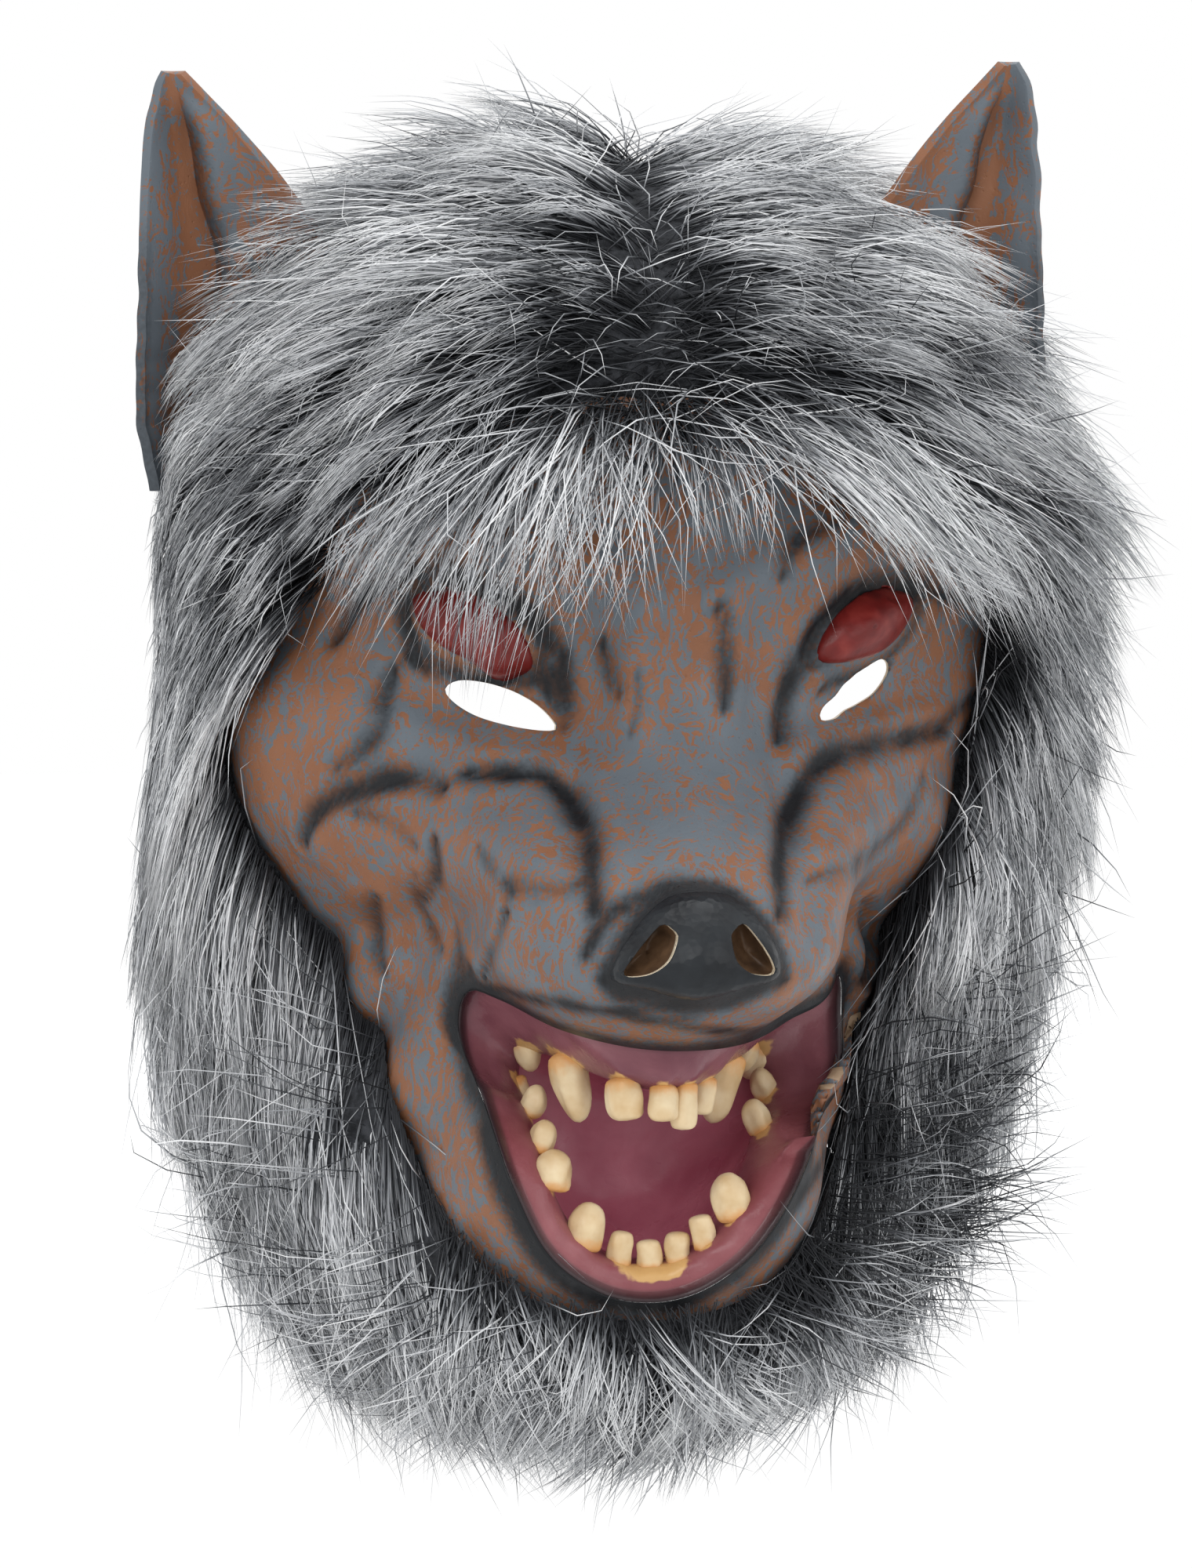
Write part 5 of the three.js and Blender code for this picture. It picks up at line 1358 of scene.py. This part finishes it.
# How the pile is combed: root pixel, tip pixel, length (mm), lift off the cloth, dark share of the strand
COMBING = np.array([
    (720, 170, 600, 80, 44, 0.45, 0.3), (620, 190, 480, 90, 42, 0.6, 0.3),
    (800, 150, 740, 50, 40, 0.5, 0.2), (880, 160, 950, 80, 40, 0.45, 0.2),
    (960, 200, 1080, 120, 42, 0.6, 0.3), (1060, 230, 1190, 190, 42, 0.5, 0.3),
    (540, 230, 400, 160, 45, 0.4, 0.3), (470, 300, 300, 230, 48, 0.35, 0.3),
    (600, 280, 420, 230, 48, 0.35, 0.3), (700, 230, 560, 160, 40, 0.5, 0.35),
    (650, 330, 430, 370, 54, 0.22, 0.12), (560, 360, 330, 430, 56, 0.2, 0.08),
    (480, 400, 250, 480, 54, 0.2, 0.08), (400, 440, 220, 520, 48, 0.25, 0.2),
    (330, 470, 200, 600, 48, 0.3, 0.4), (780, 330, 700, 300, 30, 0.4, 0.35),
    (800, 400, 760, 380, 22, 0.5, 0.85), (720, 420, 560, 440, 36, 0.3, 0.55),
    (600, 450, 440, 520, 38, 0.3, 0.6), (470, 500, 350, 590, 40, 0.3, 0.7),
    (860, 250, 960, 230, 40, 0.45, 0.15), (900, 330, 1060, 330, 42, 0.35, 0.35),
    (870, 420, 980, 440, 30, 0.35, 0.85), (980, 400, 1120, 430, 42, 0.3, 0.4),
    (1050, 300, 1180, 350, 44, 0.35, 0.25), (1130, 330, 1250, 420, 42, 0.35, 0.3),
    (1120, 430, 1220, 520, 40, 0.35, 0.8), (1220, 420, 1370, 560, 46, 0.35, 0.3),
    (1280, 470, 1430, 640, 48, 0.4, 0.25), (560, 520, 480, 630, 42, 0.14, 0.5),
    (640, 520, 600, 680, 50, 0.12, 0.4), (720, 540, 715, 740, 72, 0.08, 0.2),
    (680, 560, 700, 800, 78, 0.06, 0.1), (760, 540, 785, 740, 76, 0.08, 0.2),
    (780, 560, 795, 800, 82, 0.06, 0.1), (860, 550, 850, 680, 52, 0.12, 0.7),
    (920, 540, 960, 680, 64, 0.1, 0.3), (980, 550, 1020, 690, 60, 0.1, 0.25),
    (1050, 540, 1100, 690, 60, 0.1, 0.25), (1110, 560, 1150, 710, 56, 0.12, 0.35),
    (820, 460, 820, 570, 42, 0.25, 0.95), (730, 460, 690, 570, 44, 0.25, 0.9),
    (940, 460, 1000, 530, 28, 0.4, 0.8), (420, 580, 330, 680, 34, 0.3, 0.85),
    (480, 600, 430, 680, 28, 0.3, 0.8), (300, 560, 180, 640, 42, 0.4, 0.6),
    (230, 620, 130, 720, 38, 0.4, 0.95), (250, 720, 180, 860, 46, 0.35, 0.6),
    (350, 700, 320, 840, 42, 0.25, 0.8), (390, 800, 390, 930, 44, 0.15, 0.35),
    (300, 820, 290, 980, 50, 0.2, 0.2), (220, 860, 180, 1030, 52, 0.25, 0.12),
    (180, 1000, 150, 1180, 52, 0.3, 0.12), (260, 1000, 260, 1200, 55, 0.2, 0.12),
    (320, 1080, 370, 1270, 55, 0.15, 0.2), (200, 1180, 170, 1380, 52, 0.3, 0.2),
    (280, 1220, 290, 1420, 55, 0.2, 0.2), (370, 1220, 420, 1420, 55, 0.15, 0.25),
    (230, 1400, 215, 1620, 60, 0.25, 0.15), (330, 1420, 300, 1650, 62, 0.2, 0.2),
    (430, 1380, 440, 1590, 58, 0.15, 0.3), (400, 1580, 370, 1770, 56, 0.25, 0.3),
    (500, 1550, 520, 1730, 50, 0.2, 0.4), (480, 1680, 440, 1830, 46, 0.3, 0.45),
    (600, 1640, 590, 1790, 38, 0.3, 0.45), (700, 1690, 670, 1840, 38, 0.3, 0.3),
    (800, 1720, 790, 1870, 34, 0.35, 0.4), (850, 1780, 850, 1920, 32, 0.4, 0.5),
    (930, 1720, 960, 1860, 36, 0.3, 0.35), (1020, 1640, 1090, 1790, 40, 0.3, 0.55),
    (1100, 1560, 1180, 1700, 44, 0.3, 0.9), (1320, 600, 1430, 720, 46, 0.4, 0.35),
    (1230, 600, 1260, 740, 42, 0.3, 0.85), (1280, 720, 1300, 880, 46, 0.2, 0.55),
    (1380, 760, 1450, 930, 50, 0.35, 0.15), (1220, 800, 1230, 950, 42, 0.15, 0.8),
    (1330, 880, 1380, 1060, 50, 0.3, 0.12), (1260, 930, 1220, 1080, 42, 0.2, 0.35),
    (1210, 1030, 1170, 1180, 42, 0.15, 0.25), (1400, 1000, 1430, 1200, 52, 0.3, 0.22),
    (1310, 1060, 1330, 1250, 52, 0.25, 0.35), (1220, 1150, 1170, 1320, 44, 0.2, 0.6),
    (1180, 1250, 1150, 1420, 42, 0.2, 0.85), (1380, 1220, 1400, 1440, 52, 0.3, 0.22),
    (1290, 1280, 1290, 1480, 52, 0.25, 0.32), (1200, 1400, 1180, 1560, 44, 0.25, 0.9),
    (1340, 1450, 1380, 1660, 60, 0.3, 0.1), (1260, 1500, 1320, 1700, 58, 0.3, 0.15),
    (1160, 1520, 1220, 1690, 52, 0.3, 0.8), (1210, 1640, 1270, 1810, 50, 0.35, 0.3),
])
COMB_REACH = 34.0
# The pile is pressed back where it stands out past these places
PILE_TO_RIGHT = 116
PILE_TO_LEFT = -101
# Long strands have four lengths, the finer ones between them three
STRAND_WIDTHS = {4: (0.17, 0.21, 0.18, 0.12), 3: (0.13, 0.16, 0.11)}


def combing_at(points):
    u, v, _ = photo_pixels(points)
    away = (u[:, None] - COMBING[:, 0])**2 + (v[:, None] - COMBING[:, 1])**2
    weight = 1 / (away + COMB_REACH**2)**2
    weight /= weight.sum(1, keepdims=True)
    heading = unit((COMBING[:, 2:4] - COMBING[:, 0:2]) * np.array([1, -1]))
    mixed = unit(weight @ heading)
    length, lift, dark = (weight @ COMBING[:, 4:7]).T
    return mixed, length, lift, dark


def strand_paths(roots, steps, heading, length, lift, clearance, curl, random):
    """Points of strands that follow the round of the head from their roots."""
    comb = np.stack([heading[:, 0], np.zeros(len(roots)), heading[:, 1]], 1)
    path = [roots]
    bend = random.normal(0, 1, (len(roots), 3))
    for step in range(steps):
        here = path[-1]
        done = step * 4 / steps
        off = unit(here - FACE_CENTRE)
        flat = unit(comb - off * np.sum(comb * off, 1, keepdims=True))
        rise = (lift * (1.3 - 0.34 * done))[:, None]
        stray = curl[:, None] * (bend * (done - 0.4) + random.normal(0, 0.7, bend.shape))
        way = flat + off * rise + np.array([0, 0, -0.12 * done]) + stray
        ahead = here + unit(way) * (length / steps)[:, None]
        out = ahead - FACE_CENTRE
        reach = np.linalg.norm(out, axis=1)
        keep = fur_floor(unit(out)) + clearance
        ahead = np.where((reach < keep)[:, None], FACE_CENTRE + unit(out) * keep[:, None], ahead)
        ahead[:, 0] -= 0.6 * np.maximum(ahead[:, 0] - PILE_TO_RIGHT, 0)
        ahead[:, 0] += 0.7 * np.maximum(PILE_TO_LEFT - ahead[:, 0], 0)
        path.append(ahead)
    path = np.stack(path, 1)
    for _ in range(2):
        path[:, 1:-1] = (path[:, :-2] + 2 * path[:, 1:-1] + path[:, 2:]) / 4
    return path


def turned_heading(heading, angle):
    cos, sin = np.cos(angle), np.sin(angle)
    return np.stack([heading[:, 0] * cos - heading[:, 1] * sin, heading[:, 0] * sin + heading[:, 1] * cos], 1)


def cloth_roots(start, end, count, random):
    """Roots spread evenly over a stretch of the cloth."""
    rolls, alongs = np.meshgrid(np.linspace(start, end, 41), np.linspace(0, 1, 13), indexing="ij")
    grid = cloth_point(rolls, alongs)
    cell = np.linalg.norm(np.cross(grid[1:, :-1] - grid[:-1, :-1], grid[:-1, 1:] - grid[:-1, :-1]), axis=-1)
    area = cell.sum()
    cell = cell * (1 + 1.6 * np.exp(-(np.arange(12) / 1.6)**2))
    chosen = random.choice(cell.size, count, p=(cell / cell.sum()).ravel())
    row, column = np.unravel_index(chosen, cell.shape)
    roll = start + (end - start) * (row + random.random(count)) / 40
    along = (column + random.random(count)) / 12
    span = rim_value(roll, FREE_EDGE) - side_value(roll, FUR_EDGE, FUR_EDGE_LEFT)
    along = np.where(along < 0.12, along - (0.12 - along) / 0.12 * 5.5 / span, along)
    return cloth_point(roll, along, 1.4), along, area


def locks_turned(points):
    """Broad locks of the pile lie across each other: a slow change of heading over the fur."""
    return 0.55 * fold_noise(points, 26, 31.0) + 0.35 * fold_noise(points, 11, 57.0)


def grow_strands(start, end, count, steps, clumps, random):
    """Corner points and tones of strands in clumps, and where they are rooted."""
    clump_roots, clump_paths, clump_heading, clump_length, clump_lift, clump_tone, clump_clear = clumps
    roots, _, _ = cloth_roots(start, end, count, random)
    finder = finder_of(clump_roots)
    clump = np.array([finder.find(place)[1] for place in roots])
    heading, length, lift, dark = combing_at(roots)
    blended = unit(0.7 * clump_heading[clump] + 0.3 * heading)
    wild = random.random(count) < (0.07 if steps == 4 else 0.2) + 0.6 * np.clip(dark - 0.35, 0, 1)
    angle = random.normal(0, 0.16, count) + wild * random.normal(0, 0.5 + 0.8 * dark, count)
    length = 0.5 * (length + clump_length[clump]) * random.uniform(0.72, 1.12, count)
    lift = clump_lift[clump] * random.uniform(0.8, 1.25, count) + wild * 0.16
    clear = clump_clear[clump] * random.uniform(0.6, 1.3, count)
    curl = random.uniform(0.07, 0.21, count) + wild * 0.08
    paths = strand_paths(roots, steps, turned_heading(blended, angle), length, lift, clear, curl, random)
    share = np.linspace(0, 1, steps + 1)
    clump_line = np.stack([[np.interp(share, np.linspace(0, 1, 5), line[:, axis]) for axis in range(3)]
                           for line in clump_paths]).transpose(0, 2, 1)
    gather = random.uniform(0.3, 0.85, count) * np.where(wild, 0.15, 1)
    pull = gather[:, None] * share[None, :]**1.15
    paths = paths + (clump_line[clump] - paths) * pull[..., None]

    along_strand = np.gradient(paths, axis=1)
    off = unit(paths - FACE_CENTRE)
    across = unit(np.cross(along_strand, off))
    above = unit(np.cross(across, along_strand))
    thick = random.uniform(0.75, 1.2, count)[:, None] * np.array(STRAND_WIDTHS[steps])[None, :]
    spin = random.uniform(0, 2 * math.pi, count)
    corners = []
    for corner in range(3):
        angle = spin + corner * 2 * math.pi / 3
        ring = (across[:, :-1] * np.cos(angle)[:, None, None] + above[:, :-1] * np.sin(angle)[:, None, None])
        corners.append(paths[:, :-1] + ring * thick[..., None])
    body = np.stack(corners, 2).reshape(count, -1, 3)
    points = np.concatenate([body, paths[:, -1:]], 1)

    tip_tone = np.clip(random.normal(0.87, 0.12, count) + clump_tone[clump] - 0.25 * dark, 0.2, 1)
    tip_tone = np.where(random.random(count) < 0.12, tip_tone * 0.45, tip_tone)
    low = np.clip(dark * 0.7 + random.normal(0, 0.07, count) - 0.04, 0.0, 0.85)
    level = smoothstep(share[None, :], (low - 0.14)[:, None], (low + 0.26)[:, None])
    tone = 0.08 + (tip_tone[:, None] - 0.08) * level
    tone = np.concatenate([np.repeat(tone[:, :-1], 3, axis=1), tone[:, -1:]], 1)
    return points, tone, roots


def strand_faces(count, steps, start):
    """Faces of three-sided strands drawn out to a point."""
    per = steps * 3 + 1
    ring, corner = np.meshgrid(np.arange(steps - 1), np.arange(3), indexing="ij")
    a, b = (ring * 3 + corner).ravel(), (ring * 3 + (corner + 1) % 3).ravel()
    quads = np.stack([a, b, b + 3, a + 3], 1)
    last = (steps - 1) * 3
    tip = per - 1
    tris = np.array([(last, last + 1, tip), (last + 1, last + 2, tip), (last + 2, last, tip), (0, 2, 1)])
    base = (start + np.arange(count) * per)[:, None, None]
    return [(quads[None] + base).reshape(-1, 4), (tris[None] + base).reshape(-1, 3)]


def make_fur(names, node, start, end, counts, seed):
    """Long pile over a stretch of the cloth. Two names share it left and right."""
    random = np.random.default_rng(seed)
    area = cloth_roots(start, end, 1, random)[2]
    clump_roots, _, _ = cloth_roots(start, end, int(area / 75), random)
    count = len(clump_roots)
    heading, length, lift, _ = combing_at(clump_roots)
    clump_heading = turned_heading(heading, locks_turned(clump_roots) + random.normal(0, 0.2, count))
    clump_length = length * random.uniform(0.78, 1.18, count)
    clump_lift = lift * random.uniform(0.5, 1.6, count)
    clump_tone = random.normal(0, 0.08, count) + 0.22 * fold_noise(clump_roots, 17, 77.0)
    clump_clear = random.uniform(0.6, 7.0, count)
    curl = np.full(count, 0.11)
    clump_paths = strand_paths(clump_roots, 4, clump_heading, clump_length, clump_lift, clump_clear, curl,
                               random)
    clumps = (clump_roots, clump_paths, clump_heading, clump_length, clump_lift, clump_tone, clump_clear)
    grown = []
    for steps, number in zip(STRAND_WIDTHS, counts):
        grown.append((steps, *grow_strands(start, end, number, steps, clumps, random)))
    for at, name in enumerate(names):
        verts, faces, tones = [], [], []
        for steps, points, tone, roots in grown:
            chosen = np.full(len(roots), True) if len(names) == 1 else (roots[:, 0] < 0) == (at == 0)
            faces += strand_faces(chosen.sum(), steps, sum(len(part) for part in verts))
            verts.append(points[chosen].reshape(-1, 3))
            tones.append(tone[chosen].ravel())
        fur = piece_from(name, placed(np.vstack(verts)), faces, {"tone": np.concatenate(tones)})
        fur.data.materials.append(pile)
        finished(fur, [node])


def make_cloth(name, node, start, end):
    """The backing that the pile grows from, with short dark pile matted on it."""
    rows, columns = int(abs(end - start)), 22
    rolls, alongs = np.meshgrid(np.linspace(start, end, rows), np.linspace(0, 1, columns), indexing="ij")
    low = cloth_point(rolls, alongs)
    normals = grid_normals(low, False)
    matted = 0.9 + 0.6 * fold_noise(low, 5, 2.0) + 0.4 * fold_noise(low, 2.2, 7.0)
    edge = np.minimum(np.minimum(alongs, 1 - alongs) * 8, 1)
    top = low + normals * (0.9 + matted * edge)[..., None]
    both = np.vstack([top.reshape(-1, 3), low.reshape(-1, 3)])
    cloth = piece_from(name, placed(both), wall_faces(rows, columns, False))
    faces_outward(cloth)
    cloth.data.materials.append(pile_cloth)
    finished(cloth, [node])


# Pile, cloth and node of each piece of fur, the rolls in degrees that it covers, long and fine strands
FUR = [
    (["crown_pile_left", "crown_pile_right"], "crown_cloth", "crown_fur", -65, 65, (8100, 6000)),
    (["mane_pile_right"], "mane_cloth_right", "mane_right", 66, 144.5, (4750, 3900)),
    (["chin_pile"], "chin_cloth", "chin_fur", 145.5, 214.5, (2900, 2400)),
    (["mane_pile_left"], "mane_cloth_left", "mane_left", 215.5, 294, (4750, 3900)),
]
for seed, (names, _, node, start, end, counts) in enumerate(FUR, 11):
    make_fur(names, node, start, end, counts, seed)
for _, name, node, start, end, _ in FUR:
    make_cloth(name, node, start, end)

# Head band: an elastic from inside one side of the latex round the back to the other
BAND_STEPS = 120
BAND_ROWS = 9
band_angle = np.radians(np.linspace(-16, 196, BAND_STEPS + 1))
band_out = np.stack([np.cos(band_angle), np.sin(band_angle), np.zeros_like(band_angle)], 1)
band_half = 0.989 * HALF_WIDTH - WALL - 6 * GAP - 1.2
band_centre = np.array([0, 0.088 * FACE_DEPTH, 0.1 * FACE_HEIGHT])
band_line = band_out * np.array([band_half, 1.01 * FACE_DEPTH, 0]) + band_centre
band_up = np.linspace(-6, 6, BAND_ROWS)
crown = 0.12 * np.cos(np.linspace(-1, 1, BAND_ROWS) * math.pi / 2)
band_front = band_line[:, None] + band_out[:, None] * (1.05 + crown)[None, :, None]
band_rear = band_line[:, None] + band_out[:, None] * (0.12 - crown)[None, :, None]
for band in (band_front, band_rear):
    band[..., 2] += band_up[None, :]
band_points = placed(np.vstack([band_front.reshape(-1, 3), band_rear.reshape(-1, 3)]))
elastic_band = piece_from("elastic_band", band_points, wall_faces(BAND_STEPS + 1, BAND_ROWS, False))
faces_outward(elastic_band)
elastic_band.data.materials.append(band_weave)
finished(elastic_band, ["head_elastic"])

# Floor and light
low_corner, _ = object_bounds()
bpy.ops.object.select_all(action="DESELECT")
bpy.ops.mesh.primitive_plane_add(size=8, location=(0, 1.0, low_corner[2] - 0.002))
floor = bpy.context.active_object
floor.name = "studio_floor"
floor.data.materials.append(pale_floor())


def soft_light(name, place, size, power):
    data = bpy.data.lights.new(name, "AREA")
    data.shape = "SQUARE"
    data.size = size
    data.energy = power
    lamp = bpy.data.objects.new(name, data)
    bpy.context.scene.collection.objects.link(lamp)
    lamp.location = place
    lamp.rotation_euler = (Vector(place) - camera_target).to_track_quat("Z", "Y").to_euler()


soft_light("key_light", (-0.9, -1.7, 0.9), 1.0, 11)
soft_light("fill_light", (1.2, -1.5, 0.3), 1.2, 5)
soft_light("top_light", (0.1, 0.2, 1.5), 1.2, 6)
soft_light("back_light", (0.3, 1.6, 0.5), 1.4, 6)

world = bpy.data.worlds.new("studio")
world.use_nodes = True
world.node_tree.nodes["Background"].inputs["Color"].default_value = (1, 1, 1, 1)
world.node_tree.nodes["Background"].inputs["Strength"].default_value = 1.0
bpy.context.scene.world = world
bpy.context.scene.view_settings.view_transform = "Standard"
